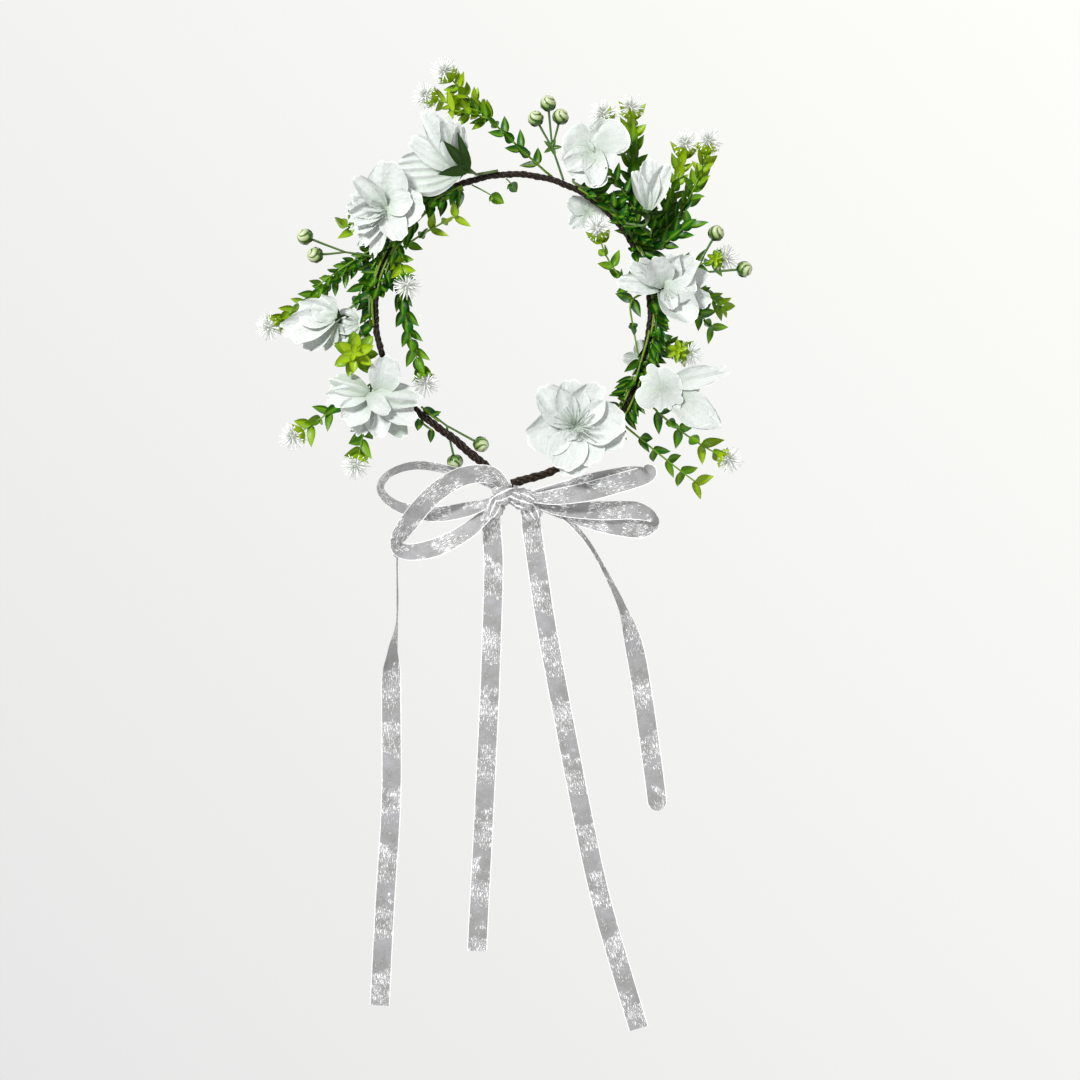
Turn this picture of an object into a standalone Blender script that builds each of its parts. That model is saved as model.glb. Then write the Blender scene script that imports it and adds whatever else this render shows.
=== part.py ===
"""Flower crown: a taped wire hoop with fabric blossoms, moulded leaf sprays, bristle puffs and
buds wired to it, closed at the back by a ribbon bow with four tails.

It lies on its back on a table. +Z is up, z = 0 is the table, +Y runs from the bow to the top of
the hoop, and the origin is under the middle of the hoop. Lengths below are in millimetres and
angles in degrees; angles round the hoop start at +X and grow anticlockwise.
"""

import math

import bmesh
import bpy
from mathutils import Matrix, Vector

MM = 0.001
UP = Vector((0.0, 0.0, 1.0))
SHARP_ANGLE = 50.0

# The hoop: a circle whose two ends run outwards past these angles
HOOP_RADIUS = 82.5
HOOP_HEIGHT = 15.0
HOOP_LEFT_END = 257.0
HOOP_RIGHT_END = -86.0
HOOP_STEPS = 50
RIGHT_TURN_OUT = -15.0
RIGHT_SPREAD = 0.29
RIGHT_EASE = 8.0
LEFT_TURN_OUT = 236.0
LEFT_SPREAD = 0.02
TAPE_SIDES = 7
WIRE_RADIUS = 1.0
TAPE_INNER = 1.35
TAPE_OUTER = 2.7
EYELET_RADIUS = 2.7
EYELET_WIRE = 0.75
EYELET_REACH = 5.6
EYELET_STEPS = 12

# Stems and the space kept between separate pieces
STEM_RADIUS = 0.9
STEM_SIDES = 5
GAP = 0.4

# Blossoms
PETAL_THICKNESS = 0.7
PETAL_NOTCH = 0.34
PETALS = 5
PETAL_CURL = 1.6
PETAL_STEPS = 5
HEART_SIZE = 0.6
HEART_DEPTH = 0.8
HEART_LIFT = 3.4
HEART_TURN = 36.0
POST_HEIGHT = 7.0
POST_FOOT = 2.2
POST_TOP = 1.6
CALYX_RADIUS = 3.4
CALYX_LENGTH = 7.0
SEPAL_LENGTH = 15.0
SEPAL_WIDTH = 5.5
SEPAL_LIFT = 0.35

# Leaf sprays, puffs and buds
LEAF_LENGTH = 9.5
LEAF_WIDTH = 5.6
LEAF_THICKNESS = 0.9
LEAF_LEAN = 50.0
PUFF_RADIUS = 9.0
PUFF_CORE = 3.0
PUFF_NECK = 1.3
PUFF_REST = 9.3
BUD_RADIUS = 5.0
FORK_OVERLAP = 0.4
STEM_THINNING = 0.35

# Ribbon
RIBBON_WIDTH = 12.0
RIBBON_THICKNESS = 0.6
KNOT_CENTRE = Vector((1.0, -111.0, 10.0))
KNOT_SIZE = Vector((22.0, 10.0, 12.0))
STRAP_WIDTH = 2.6
STRAP_HALF_HEIGHT = 2.4
STRAP_STEPS = 16
STRAP_TOP = 3.6
STRAP_BACK = 1.5
STRAP_LEFT = -6.0
STRAP_RIGHT = 1.0


def clear_scene():
    """Remove the objects that a new file starts with."""
    for thing in list(bpy.data.objects):
        bpy.data.objects.remove(thing)


def paint(name, colour, roughness, metallic=0.0):
    """A plain surface with one colour."""
    material = bpy.data.materials.new(name)
    material.use_nodes = True
    shader = material.node_tree.nodes["Principled BSDF"]
    shader.inputs["Base Color"].default_value = (*colour, 1.0)
    shader.inputs["Roughness"].default_value = roughness
    shader.inputs["Metallic"].default_value = metallic
    material.diffuse_color = (*colour, 1.0)
    return material


def wire_steel():
    return paint("wire_steel", (0.30, 0.30, 0.30), 0.45, 1.0)


def floral_tape():
    return paint("floral_tape", (0.045, 0.022, 0.013), 0.75)


def petal_fabric():
    return paint("petal_fabric", (0.86, 0.89, 0.86), 0.65)


def calyx_plastic():
    return paint("calyx_plastic", (0.05, 0.16, 0.03), 0.5)


def leaf_plastic():
    return paint("leaf_plastic", (0.07, 0.26, 0.01), 0.42)


def puff_bristle():
    return paint("puff_bristle", (0.88, 0.90, 0.88), 0.5)


def bud_plastic():
    return paint("bud_plastic", (0.42, 0.55, 0.26), 0.35)


def ribbon_organza():
    return paint("ribbon_organza", (0.55, 0.55, 0.56), 0.4)


def make_object(name, mesh_data, material, origin=None):
    """Turn a bmesh drawn in millimetres into a named object in metres, with its own origin."""
    origin = origin or Vector((0.0, 0.0, 0.0))
    bmesh.ops.translate(mesh_data, vec=-origin, verts=mesh_data.verts)
    bmesh.ops.scale(mesh_data, vec=(MM, MM, MM), verts=mesh_data.verts)
    bmesh.ops.recalc_face_normals(mesh_data, faces=mesh_data.faces)
    bmesh.ops.triangulate(mesh_data, faces=mesh_data.faces)
    mesh = bpy.data.meshes.new(name)
    mesh_data.to_mesh(mesh)
    mesh_data.free()
    thing = bpy.data.objects.new(name, mesh)
    thing.location = origin * MM
    bpy.context.collection.objects.link(thing)
    mesh.materials.append(material)
    mesh.shade_smooth()
    mesh.set_sharp_from_angle(angle=math.radians(SHARP_ANGLE))
    return thing


def union(first, rest):
    """Fuse closed shells into one solid. Takes bmeshes in millimetres and gives one back."""
    body = shell_object("body", first)
    others = bmesh.new()
    for shell in rest:
        copy_into(others, shell)
        shell.free()
    tool = shell_object("tool", others)
    join = body.modifiers.new("join", "BOOLEAN")
    join.operation = "UNION"
    join.solver = "EXACT"
    join.use_self = True
    join.object = tool
    view = bpy.context.evaluated_depsgraph_get()
    fused = bmesh.new()
    fused.from_mesh(body.evaluated_get(view).to_mesh())
    for thing in (body, tool):
        bpy.data.objects.remove(thing)
    bmesh.ops.remove_doubles(fused, verts=fused.verts, dist=0.0001)
    bmesh.ops.dissolve_degenerate(fused, edges=fused.edges, dist=0.0001)
    return fused


def shell_object(name, shell):
    """A working object for the union, in millimetres."""
    bmesh.ops.recalc_face_normals(shell, faces=shell.faces)
    mesh = bpy.data.meshes.new(name)
    shell.to_mesh(mesh)
    shell.free()
    thing = bpy.data.objects.new(name, mesh)
    bpy.context.collection.objects.link(thing)
    return thing


def copy_into(target, source):
    """Add the faces of one bmesh to another."""
    made = {vert: target.verts.new(vert.co) for vert in source.verts}
    for face in source.faces:
        target.faces.new([made[vert] for vert in face.verts])


def lay_rings(rings, closed=False):
    """Skin a list of vertex rings, with a flat cap at each end unless the rings form a loop."""
    mesh_data = bmesh.new()
    rows = [[mesh_data.verts.new(point) for point in ring] for ring in rings]
    pairs = list(zip(rows, rows[1:]))
    if closed:
        pairs.append((rows[-1], rows[0]))
    for low, high in pairs:
        count = len(low)
        for k in range(count):
            after = (k + 1) % count
            mesh_data.faces.new((low[k], low[after], high[after], high[k]))
    if not closed:
        mesh_data.faces.new(rows[0][::-1])
        mesh_data.faces.new(rows[-1])
    return mesh_data


def tangents(path, closed=False):
    """The direction of travel at each point of a path."""
    count = len(path)
    found = []
    for k in range(count):
        before = path[k - 1] if k or closed else path[k]
        after = path[(k + 1) % count] if k < count - 1 or closed else path[k]
        found.append((after - before).normalized())
    return found


def tube(path, radii, sides=STEM_SIDES, closed=False):
    """A round stem along a path, with one radius for each point."""
    along = tangents(path, closed)
    side = along[0].cross(UP)
    if side.length < 0.1:
        side = along[0].cross(Vector((0.0, 1.0, 0.0)))
    rings = []
    for point, direction, radius in zip(path, along, radii):
        side = (side - direction * side.dot(direction)).normalized()
        other = direction.cross(side)
        ring = []
        for k in range(sides):
            turn = 2.0 * math.pi * k / sides
            ring.append(point + (side * math.cos(turn) + other * math.sin(turn)) * radius)
        rings.append(ring)
    return lay_rings(rings, closed)


def hoop_point(degrees):
    """A point on the hoop's centre line: a circle whose two ends run out to the bow."""
    past_right = max(0.0, RIGHT_TURN_OUT - degrees)
    past_left = max(0.0, degrees - LEFT_TURN_OUT)
    radius = HOOP_RADIUS + LEFT_SPREAD * past_left**2
    radius += RIGHT_SPREAD * past_right**2 / (past_right + RIGHT_EASE)
    turn = math.radians(degrees)
    return Vector((radius * math.cos(turn), radius * math.sin(turn), HOOP_HEIGHT))


def hoop_path():
    """The hoop's centre line from its left end over the top to its right end."""
    span = HOOP_RIGHT_END - HOOP_LEFT_END
    return [hoop_point(HOOP_LEFT_END + span * k / HOOP_STEPS) for k in range(HOOP_STEPS + 1)]


def beside_hoop(degrees, lift, extra=0.0):
    """A point beside the tape, where a stem lies. lift 0 is outside the hoop and 90 on top."""
    centre = hoop_point(degrees)
    ahead = (hoop_point(degrees + 1.0) - hoop_point(degrees - 1.0)).normalized()
    outward = ahead.cross(UP)
    turn = math.radians(lift)
    reach = TAPE_OUTER + STEM_RADIUS + GAP + extra
    return centre + (outward * math.cos(turn) + UP * math.sin(turn)) * reach


def hoop_wire():
    """The steel wire inside the tape, with a small eyelet at each end for the ribbon."""
    path = hoop_path()
    ends = []
    for end, inner in ((path[0], path[1]), (path[-1], path[-2])):
        out = (end - inner).normalized()
        centre = end + out * EYELET_REACH
        circle = []
        for k in range(EYELET_STEPS):
            turn = 2.0 * math.pi * k / EYELET_STEPS
            offset = Vector((math.cos(turn), math.sin(turn), 0.0)) * EYELET_RADIUS
            circle.append(centre + offset)
        ends.append((end + out * (EYELET_REACH - EYELET_RADIUS), circle))
    whole = [ends[0][0], *path, ends[1][0]]
    rod = tube(whole, [WIRE_RADIUS] * len(whole))
    eyelets = [tube(circle, [EYELET_WIRE] * EYELET_STEPS, closed=True) for _, circle in ends]
    return make_object("hoop_wire", union(rod, eyelets), wire_steel())


def hoop_tape():
    """Floral tape wound round the wire, drawn as a hollow sleeve."""
    path = hoop_path()
    along = tangents(path)
    rings = []
    for point, direction in zip(path, along):
        side = direction.cross(UP)
        ring = []
        for k in range(TAPE_SIDES):
            turn = 2.0 * math.pi * k / TAPE_SIDES
            ring.append((side * math.cos(turn) + UP * math.sin(turn), point))
        rings.append(ring)
    mesh_data = bmesh.new()
    skins = []
    for radius in (TAPE_OUTER, TAPE_INNER):
        rows = []
        for ring in rings:
            rows.append([mesh_data.verts.new(point + spoke * radius) for spoke, point in ring])
        skins.append(rows)
    for rows in skins:
        for low, high in zip(rows, rows[1:]):
            for k in range(TAPE_SIDES):
                after = (k + 1) % TAPE_SIDES
                mesh_data.faces.new((low[k], low[after], high[after], high[k]))
    for end in (0, -1):
        outer = skins[0][end]
        inner = skins[1][end]
        for k in range(TAPE_SIDES):
            after = (k + 1) % TAPE_SIDES
            mesh_data.faces.new((outer[k], outer[after], inner[after], inner[k]))
    return make_object("hoop_tape", mesh_data, floral_tape())


def facing(lean, heading):
    """The rotation that turns +Z to lean towards a heading."""
    return Matrix.Rotation(math.radians(heading), 4, "Z") @ Matrix.Rotation(
        math.radians(lean), 4, "Y"
    )


def petal_layer(radius, depth, lift=0.0, rings=3, steps=PETAL_STEPS):
    """A ring of petals cut from one sheet: a thin lobed cup about the local Z axis."""
    around = PETALS * steps
    half = PETAL_THICKNESS / 2.0
    mesh_data = bmesh.new()
    skins = []
    for side in (1.0, -1.0):
        centre = mesh_data.verts.new((0.0, 0.0, lift + side * half))
        rows = []
        for ring in range(1, rings + 1):
            share = ring / rings
            slope = depth * PETAL_CURL * share ** (PETAL_CURL - 1.0) / radius
            row = []
            for k in range(around):
                turn = 2.0 * math.pi * k / around
                lobe = abs(math.sin(PETALS * turn / 2.0))
                edge = 1.0 - PETAL_NOTCH * (1.0 - lobe) ** 2 * share
                reach = radius * share * edge
                height = lift + depth * (share * edge) ** PETAL_CURL
                tilt = math.atan(slope)
                reach -= side * half * math.sin(tilt)
                height += side * half * math.cos(tilt)
                row.append(
                    mesh_data.verts.new((reach * math.cos(turn), reach * math.sin(turn), height))
                )
            rows.append(row)
        for k in range(around):
            after = (k + 1) % around
            mesh_data.faces.new((centre, rows[0][k], rows[0][after]))
        for low, high in zip(rows, rows[1:]):
            for k in range(around):
                after = (k + 1) % around
                mesh_data.faces.new((low[k], high[k], high[after], low[after]))
        skins.append(rows[-1])
    for k in range(around):
        after = (k + 1) % around
        mesh_data.faces.new((skins[0][k], skins[1][k], skins[1][after], skins[0][after]))
    return mesh_data


def leaf(base, direction, up, length=LEAF_LENGTH, width=LEAF_WIDTH):
    """A small pointed leaf: a flat lozenge thickened along its middle."""
    direction = direction.normalized()
    side = direction.cross(up).normalized()
    top = side.cross(direction)
    middle = base + direction * length * 0.45
    mesh_data = bmesh.new()
    foot = mesh_data.verts.new(base - direction * 0.3)
    tip = mesh_data.verts.new(base + direction * length)
    left = mesh_data.verts.new(middle + side * width / 2.0)
    right = mesh_data.verts.new(middle - side * width / 2.0)
    over = mesh_data.verts.new(middle + top * LEAF_THICKNESS / 2.0)
    under = mesh_data.verts.new(middle - top * LEAF_THICKNESS / 2.0)
    for face in (over, under):
        for near, far in ((foot, left), (left, tip), (tip, right), (right, foot)):
            mesh_data.faces.new((near, far, face))
    return mesh_data


def blossom(name, centre, lean, heading, radius, depth, root, inner=False, sepals=0, pivots=False):
    """One blossom: its petals, and the calyx and stem that tie it to the hoop at root.

    root is the angle round the hoop, how far over the tape the stem lies, and how many degrees
    it runs along. A blossom that pivots has its origin where the stem starts along the hoop.
    """
    place = Matrix.Translation(centre) @ facing(lean, heading)
    pivot = beside_hoop(root[0], root[1]) if pivots else None
    petals = petal_layer(radius, depth)
    if inner:
        heart = petal_layer(radius * HEART_SIZE, depth * HEART_DEPTH, HEART_LIFT, 2, 4)
        turned = Matrix.Rotation(math.radians(HEART_TURN), 3, "Z")
        bmesh.ops.rotate(heart, verts=heart.verts, matrix=turned)
        post = tube([Vector((0.0, 0.0, 0.0)), UP * POST_HEIGHT], [POST_FOOT, POST_TOP])
        petals = union(petals, [heart, post])
    bmesh.ops.transform(petals, matrix=place, verts=petals.verts)
    make_object(name + "_petals", petals, petal_fabric(), pivot)
    if root is None:
        return
    down = (place.to_3x3() @ Vector((0.0, 0.0, -1.0))).normalized()
    top = centre + down * (PETAL_THICKNESS / 2.0 + GAP)
    waist = top + down * CALYX_LENGTH
    angle, lift, run = root
    start = beside_hoop(angle, lift)
    finish = beside_hoop(angle + run, lift)
    stem = bend(waist, down, start, (finish - start).normalized(), 7)
    path = [top, top + down * CALYX_LENGTH * 0.45, *stem, finish]
    radii = [CALYX_RADIUS, CALYX_RADIUS * 0.8] + [STEM_RADIUS + 0.2]
    radii += [STEM_RADIUS] * (len(path) - 3)
    body = tube(path, radii)
    if sepals:
        blades = []
        for k in range(sepals):
            spoke = place.to_3x3() @ Vector(
                (math.cos(2.0 * math.pi * k / sepals), math.sin(2.0 * math.pi * k / sepals), 0.0)
            )
            base = top + down * CALYX_LENGTH * 0.4
            blades.append(leaf(base, spoke - down * SEPAL_LIFT, -down, SEPAL_LENGTH, SEPAL_WIDTH))
        body = union(body, blades)
    make_object(name + "_calyx", body, calyx_plastic(), pivot)


def bend(start, start_way, end, end_way, steps):
    """A smooth run from one point to another, leaving and arriving in the given directions."""
    reach = (end - start).length * 0.4
    first = start + start_way * reach
    second = end - end_way * reach
    path = []
    for k in range(steps + 1):
        t = k / steps
        s = 1.0 - t
        path.append(
            start * s**3 + first * 3.0 * s * s * t + second * 3.0 * s * t * t + end * t**3
        )
    return path


def stroke(start, heading, length, turn=0.0, height=None, steps=7):
    """A path that leaves start on a heading, turns evenly, and climbs to a height."""
    height = start.z if height is None else height
    path = [start.copy()]
    for k in range(steps):
        way = math.radians(heading + turn * (k + 0.5) / steps)
        point = path[-1] + Vector((math.cos(way), math.sin(way), 0.0)) * length / steps
        share = (k + 1) / steps
        point.z = start.z + (height - start.z) * share * share * (3.0 - 2.0 * share)
        path.append(point)
    return path


def leaves_along(path, pairs, first, last, size=1.0, start_turn=0.0):
    """Pairs of leaves up a stem, each pair a quarter turn from the one before."""
    along = tangents(path)
    blades = []
    for k in range(pairs):
        share = first + (last - first) * k / max(1, pairs - 1)
        spot = share * (len(path) - 1)
        low = min(int(spot), len(path) - 2)
        point = path[low].lerp(path[low + 1], spot - low)
        direction = along[low].lerp(along[low + 1], spot - low).normalized()
        side = direction.cross(UP).normalized()
        other = side.cross(direction)
        turn = math.radians(start_turn + 90.0 * k)
        spoke = side * math.cos(turn) + other * math.sin(turn)
        lean = math.radians(LEAF_LEAN)
        for way in (spoke, -spoke):
            blade = direction * math.cos(lean) + way * math.sin(lean)
            up = (direction * math.sin(lean) - way * math.cos(lean)) * 0.5 + UP
            blades.append(leaf(point, blade, up, LEAF_LENGTH * size, LEAF_WIDTH * size))
    return blades


def spray(name, branches, pivot=None):
    """A moulded leaf spray: one stem for each branch, fused, with leaves along them."""
    stems = []
    blades = []
    for path, pairs, first, last, size, turn in branches:
        radii = [STEM_RADIUS - STEM_THINNING * k / (len(path) - 1) for k in range(len(path))]
        stems.append(tube(path, radii))
        blades += leaves_along(path, pairs, first, last, size, turn)
    body = union(stems[0], stems[1:] + blades)
    return make_object(name, body, leaf_plastic(), pivot)


def puff(name, stem, pivot=None):
    """A ball of stiff bristles at the tip of a stem, drawn as a ball of spikes."""
    way = (stem[-1] - stem[-2]).normalized()
    centre = stem[-1] + way * (PUFF_CORE + PUFF_NECK)
    mesh_data = bmesh.new()
    bmesh.ops.create_icosphere(mesh_data, subdivisions=1, radius=PUFF_CORE)
    spikes = bmesh.ops.poke(mesh_data, faces=mesh_data.faces)["verts"]
    for tip in spikes:
        tip.co = tip.co.normalized() * PUFF_RADIUS
    turn = UP.rotation_difference(way).to_matrix().to_4x4()
    place = Matrix.Translation(centre) @ turn
    bmesh.ops.transform(mesh_data, matrix=place, verts=mesh_data.verts)
    return make_object(name, mesh_data, puff_bristle(), pivot)


def buds(name, root, fork, tips, pivot=None):
    """Round buds on thin stems that meet at a fork and run back to the hoop."""
    main = [root, root.lerp(fork, 0.5), fork]
    stems = [tube(main, [STEM_RADIUS] * 3)]
    for tip in tips:
        way = (tip - fork).normalized()
        stems.append(tube([fork - way * FORK_OVERLAP, tip], [STEM_RADIUS, STEM_RADIUS * 0.8]))
        ball = bmesh.new()
        bmesh.ops.create_icosphere(ball, subdivisions=2, radius=BUD_RADIUS)
        bmesh.ops.translate(ball, vec=tip, verts=ball.verts)
        stems.append(ball)
    return make_object(name, union(stems[0], stems[1:]), bud_plastic(), pivot)


def through(points, steps):
    """A smooth path through a few points, with the given steps between each pair."""
    path = []
    last = len(points) - 1
    for k in range(last):
        before = points[max(0, k - 1)]
        start = points[k]
        end = points[k + 1]
        after = points[min(last, k + 2)]
        for step in range(steps):
            t = step / steps
            pull = (end - before) * (t - 2.0 * t**2 + t**3) / 2.0
            push = (after - start) * (t**3 - t**2) / 2.0
            ahead = 3.0 * t**2 - 2.0 * t**3
            path.append(start * (1.0 - ahead) + end * ahead + pull + push)
    path.append(points[last])
    return path


def spread(values, steps):
    """Straight-line values between a few, to go with a path made by through()."""
    found = []
    for low, high in zip(values, values[1:]):
        found += [low + (high - low) * step / steps for step in range(steps)]
    return found + [values[-1]]


def ribbon(path, tilts, widths):
    """A flat ribbon along a path. Tilt 0 lies flat and 90 stands on edge."""
    rings = []
    up = UP
    for point, direction, tilt, width in zip(path, tangents(path), tilts, widths):
        level = direction.cross(UP).normalized()
        rise = level.cross(direction)
        turn = math.radians(tilt)
        across = (level * math.cos(turn) + rise * math.sin(turn)) * width / 2.0
        through_it = across.cross(direction).normalized() * RIBBON_THICKNESS / 2.0
        rings.append(
            [
                point + across + through_it,
                point - across + through_it,
                point - across - through_it,
                point + across - through_it,
            ]
        )
    return lay_rings(rings)


def tail(name, course):
    """A ribbon tail lying on the table. Its origin, at the top, is where it swings."""
    steps = 3
    tilts = spread([spot[2] for spot in course], steps)
    widths = spread([spot[3] for spot in course], steps)
    path = through([Vector((spot[0], spot[1], 0.0)) for spot in course], steps)
    for point, tilt, width in zip(path, tilts, widths):
        turn = math.radians(abs(tilt))
        point.z = width / 2.0 * math.sin(turn) + RIBBON_THICKNESS / 2.0 * math.cos(turn)
    make_object(name, ribbon(path, tilts, widths), ribbon_organza(), path[0].copy())


def bow_loop(name, course):
    """One loop of the bow: a ribbon that leaves the knot, folds back and returns to it."""
    steps = 3
    path = through([Vector(spot[:3]) for spot in course], steps)
    tilts = spread([spot[3] for spot in course], steps)
    widths = spread([spot[4] for spot in course], steps)
    make_object(name, ribbon(path, tilts, widths), ribbon_organza())


def strap(hole, anchor):
    """The turn of ribbon that passes down through an eyelet and back to the knot."""
    along = hole - anchor
    reach = along.length / 2.0
    middle = (hole + anchor) / 2.0
    along.normalize()
    level = along.cross(UP).normalized()
    rise = level.cross(along)
    rings = []
    for k in range(STRAP_STEPS):
        turn = 2.0 * math.pi * k / STRAP_STEPS
        spoke = along * reach * math.cos(turn) + rise * STRAP_HALF_HEIGHT * math.sin(turn)
        out = along * STRAP_HALF_HEIGHT * math.cos(turn) + rise * reach * math.sin(turn)
        out.normalize()
        point = middle + spoke
        side = level * STRAP_WIDTH / 2.0
        skin = out * RIBBON_THICKNESS / 2.0
        corners = (side + skin, side - skin, -side - skin, -side + skin)
        rings.append([point + corner for corner in corners])
    return lay_rings(rings, closed=True)


def bow_knot():
    """The knot of the bow, with a turn of ribbon through each eyelet of the hoop."""
    knot = bmesh.new()
    bmesh.ops.create_icosphere(knot, subdivisions=2, radius=0.5)
    bmesh.ops.scale(knot, vec=KNOT_SIZE, verts=knot.verts)
    bmesh.ops.translate(knot, vec=KNOT_CENTRE, verts=knot.verts)
    path = hoop_path()
    straps = []
    sides = ((path[0], path[1], STRAP_LEFT), (path[-1], path[-2], STRAP_RIGHT))
    for end, inner, aside in sides:
        hole = end + (end - inner).normalized() * EYELET_REACH
        straps.append(strap(hole, KNOT_CENTRE + Vector((aside, STRAP_BACK, STRAP_TOP))))
    make_object("bow_knot", union(knot, straps), ribbon_organza())


def build_blossoms():
    blossom("blossom_upper_left", Vector((-80.0, 60.0, 29.0)), 24, 49, 25, 8, (146, 60, -5), True)
    blossom("blossom_top_left", Vector((-35.0, 91.0, 26.0)), 84, 158, 22, 29, (104, 60, -8), sepals=5)
    blossom("blossom_top_right", Vector((49.5, 92.0, 27.0)), 18, 100, 19.5, 6, (64, 50, -5))
    blossom("blossom_right_top", Vector((84.0, 58.0, 27.0)), 80, 82, 12, 25, (37, 60, -5), sepals=5)
    blossom("blossom_right", Vector((90.0, 14.0, 36.0)), 35, 80, 26, 9, (11, 70, -6), True)
    blossom("blossom_right_low", Vector((99.0, -49.0, 28.0)), 40, 200, 22, 8, (-24, 50, 5))
    blossom("blossom_left", Vector((-116.0, -10.0, 29.0)), 38, 230, 22, 8, (176, 30, 6))
    blossom("blossom_left_low", Vector((-83.0, -54.0, 32.0)), 30, 270, 26, 9, (212, 60, 6), True)
    blossom("blossom_under_top", Vector((45.0, 62.0, 0.4)), 0, 0, 15, 4, None)
    blossom("blossom_under_right", Vector((79.0, -28.0, 0.4)), 0, 0, 14, 4, None)
    blossom("blossom_bottom_right", Vector((37.0, -69.0, 31.0)), 5, 63, 29, 8, (-60, 85, -6), True, 0, True)


def build_sprays():
    rest = PUFF_REST
    start = beside_hoop(77, -10)
    long = stroke(start, 138, 82, -6, rest)
    short = stroke(long[5], 168, 31, -8, rest, 4)
    spray("spray_top_left", [(long, 8, 0.2, 0.82, 1.0, 0), (short, 2, 0.3, 0.5, 0.9, 45)], start)
    puff("puff_top_left_1", long, start)
    puff("puff_top_left_2", short, start)

    start = beside_hoop(31, -20)
    long = stroke(start, 92, 75, 0, rest)
    short = stroke(long[4], 126, 33, -12, rest, 4)
    spray("spray_top_right", [(long, 8, 0.16, 0.8, 1.0, 0), (short, 1, 0.3, 0.5, 0.9, 45)])
    puff("puff_top_right_1", short)
    puff("puff_top_right_2", long)

    start = beside_hoop(23, -10)
    long = stroke(start, 60, 68, 20, rest)
    short = stroke(long[1], 40, 64, 40, 22)
    spray("spray_right_top", [(long, 7, 0.18, 0.78, 1.0, 0), (short, 6, 0.3, 0.76, 1.0, 45)])
    puff("puff_right_top_1", long)
    puff("puff_right_top_2", short)

    start = beside_hoop(8, 180)
    long = stroke(start, 154, 44, -52, 24)
    short = stroke(start, 232, 40, 50, 11)
    spray("spray_inner_right", [(long, 2, 0.4, 0.68, 1.0, 0), (short, 3, 0.35, 0.95, 0.8, 0)])
    puff("puff_inner_right", long)

    start = beside_hoop(17, -20)
    long = stroke(start, 4, 42, 10, rest)
    short = stroke(long[1], -30, 40, -16, 8, 5)
    spray("spray_right", [(long, 3, 0.3, 0.62, 1.0, 0), (short, 4, 0.4, 1.0, 1.0, 45)])
    puff("puff_right", long)

    start = beside_hoop(153, 180)
    long = stroke(start, -86, 76, 16, rest)
    short = stroke(start, -72, 18, 0, 25, 4)
    top = stroke(start, 38, 76, -22, 8)
    whorls = [(long, 6, 0.3, 0.78, 1.0, 0), (short, 1, 0.3, 0.3, 0.7, 0), (top, 6, 0.15, 1.0, 0.9, 0)]
    spray("spray_inner_left", whorls)
    puff("puff_inner_left_1", short)
    puff("puff_inner_left_2", long)

    start = beside_hoop(149, -30)
    long = stroke(start, 218, 86, -4, rest)
    crown = Vector((-93.0, -28.0, 25.0))
    short = bend(long[1], Vector((-0.1, -1.0, -0.6)).normalized(), crown, UP, 8)
    spray("spray_left", [(long, 9, 0.14, 0.84, 1.0, 0), (short, 4, 0.86, 0.98, 1.15, 30)])
    puff("puff_left", long)

    start = beside_hoop(206, -20)
    long = stroke(start, 214, 62, 0, rest)
    short = stroke(long[1], 262, 46, -6, rest, 6)
    spray("spray_low_left", [(long, 3, 0.5, 0.78, 0.9, 0), (short, 2, 0.5, 0.7, 1.0, 45)])
    puff("puff_low_left_1", long)
    puff("puff_low_left_2", short)

    start = beside_hoop(-11, -10)
    long = stroke(start, -20, 24, 0, 17, 5)
    spray("spray_right_low", [(long, 2, 0.3, 0.55, 1.1, 45)])
    puff("puff_right_low", long)

    start = beside_hoop(-33, -25)
    long = stroke(start, -48, 64, 22, rest)
    short = stroke(long[1], -95, 36, 10, 6, 5)
    spray("spray_low_right", [(long, 4, 0.35, 0.78, 1.0, 0), (short, 3, 0.3, 0.9, 0.9, 45)])
    puff("puff_low_right", long)


def build_buds():
    root = beside_hoop(69, -10)
    fork = Vector((23.5, 98.0, 18.0))
    tips = [Vector((21.0, 124.0, 21.0)), Vector((13.5, 115.0, 21.0)), Vector((28.5, 116.0, 21.0))]
    buds("buds_top", root, fork, tips, root)

    root = beside_hoop(158, 10)
    fork = Vector((-100.0, 35.0, 21.0))
    buds("buds_left", root, fork, [Vector((-124.0, 44.0, 23.0)), Vector((-118.0, 33.0, 23.0))], root)

    root = beside_hoop(14, 25)
    fork = Vector((108.0, 23.0, 18.0))
    buds("buds_right", root, fork, [Vector((121.5, 46.5, 21.0)), Vector((138.5, 25.0, 20.0))])

    root = beside_hoop(231, 180)
    fork = Vector((-40.0, -68.0, 12.0))
    buds("buds_low_left", root, fork, [Vector((-35.0, -90.0, 6.0)), Vector((-19.0, -79.5, 11.0))])


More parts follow.
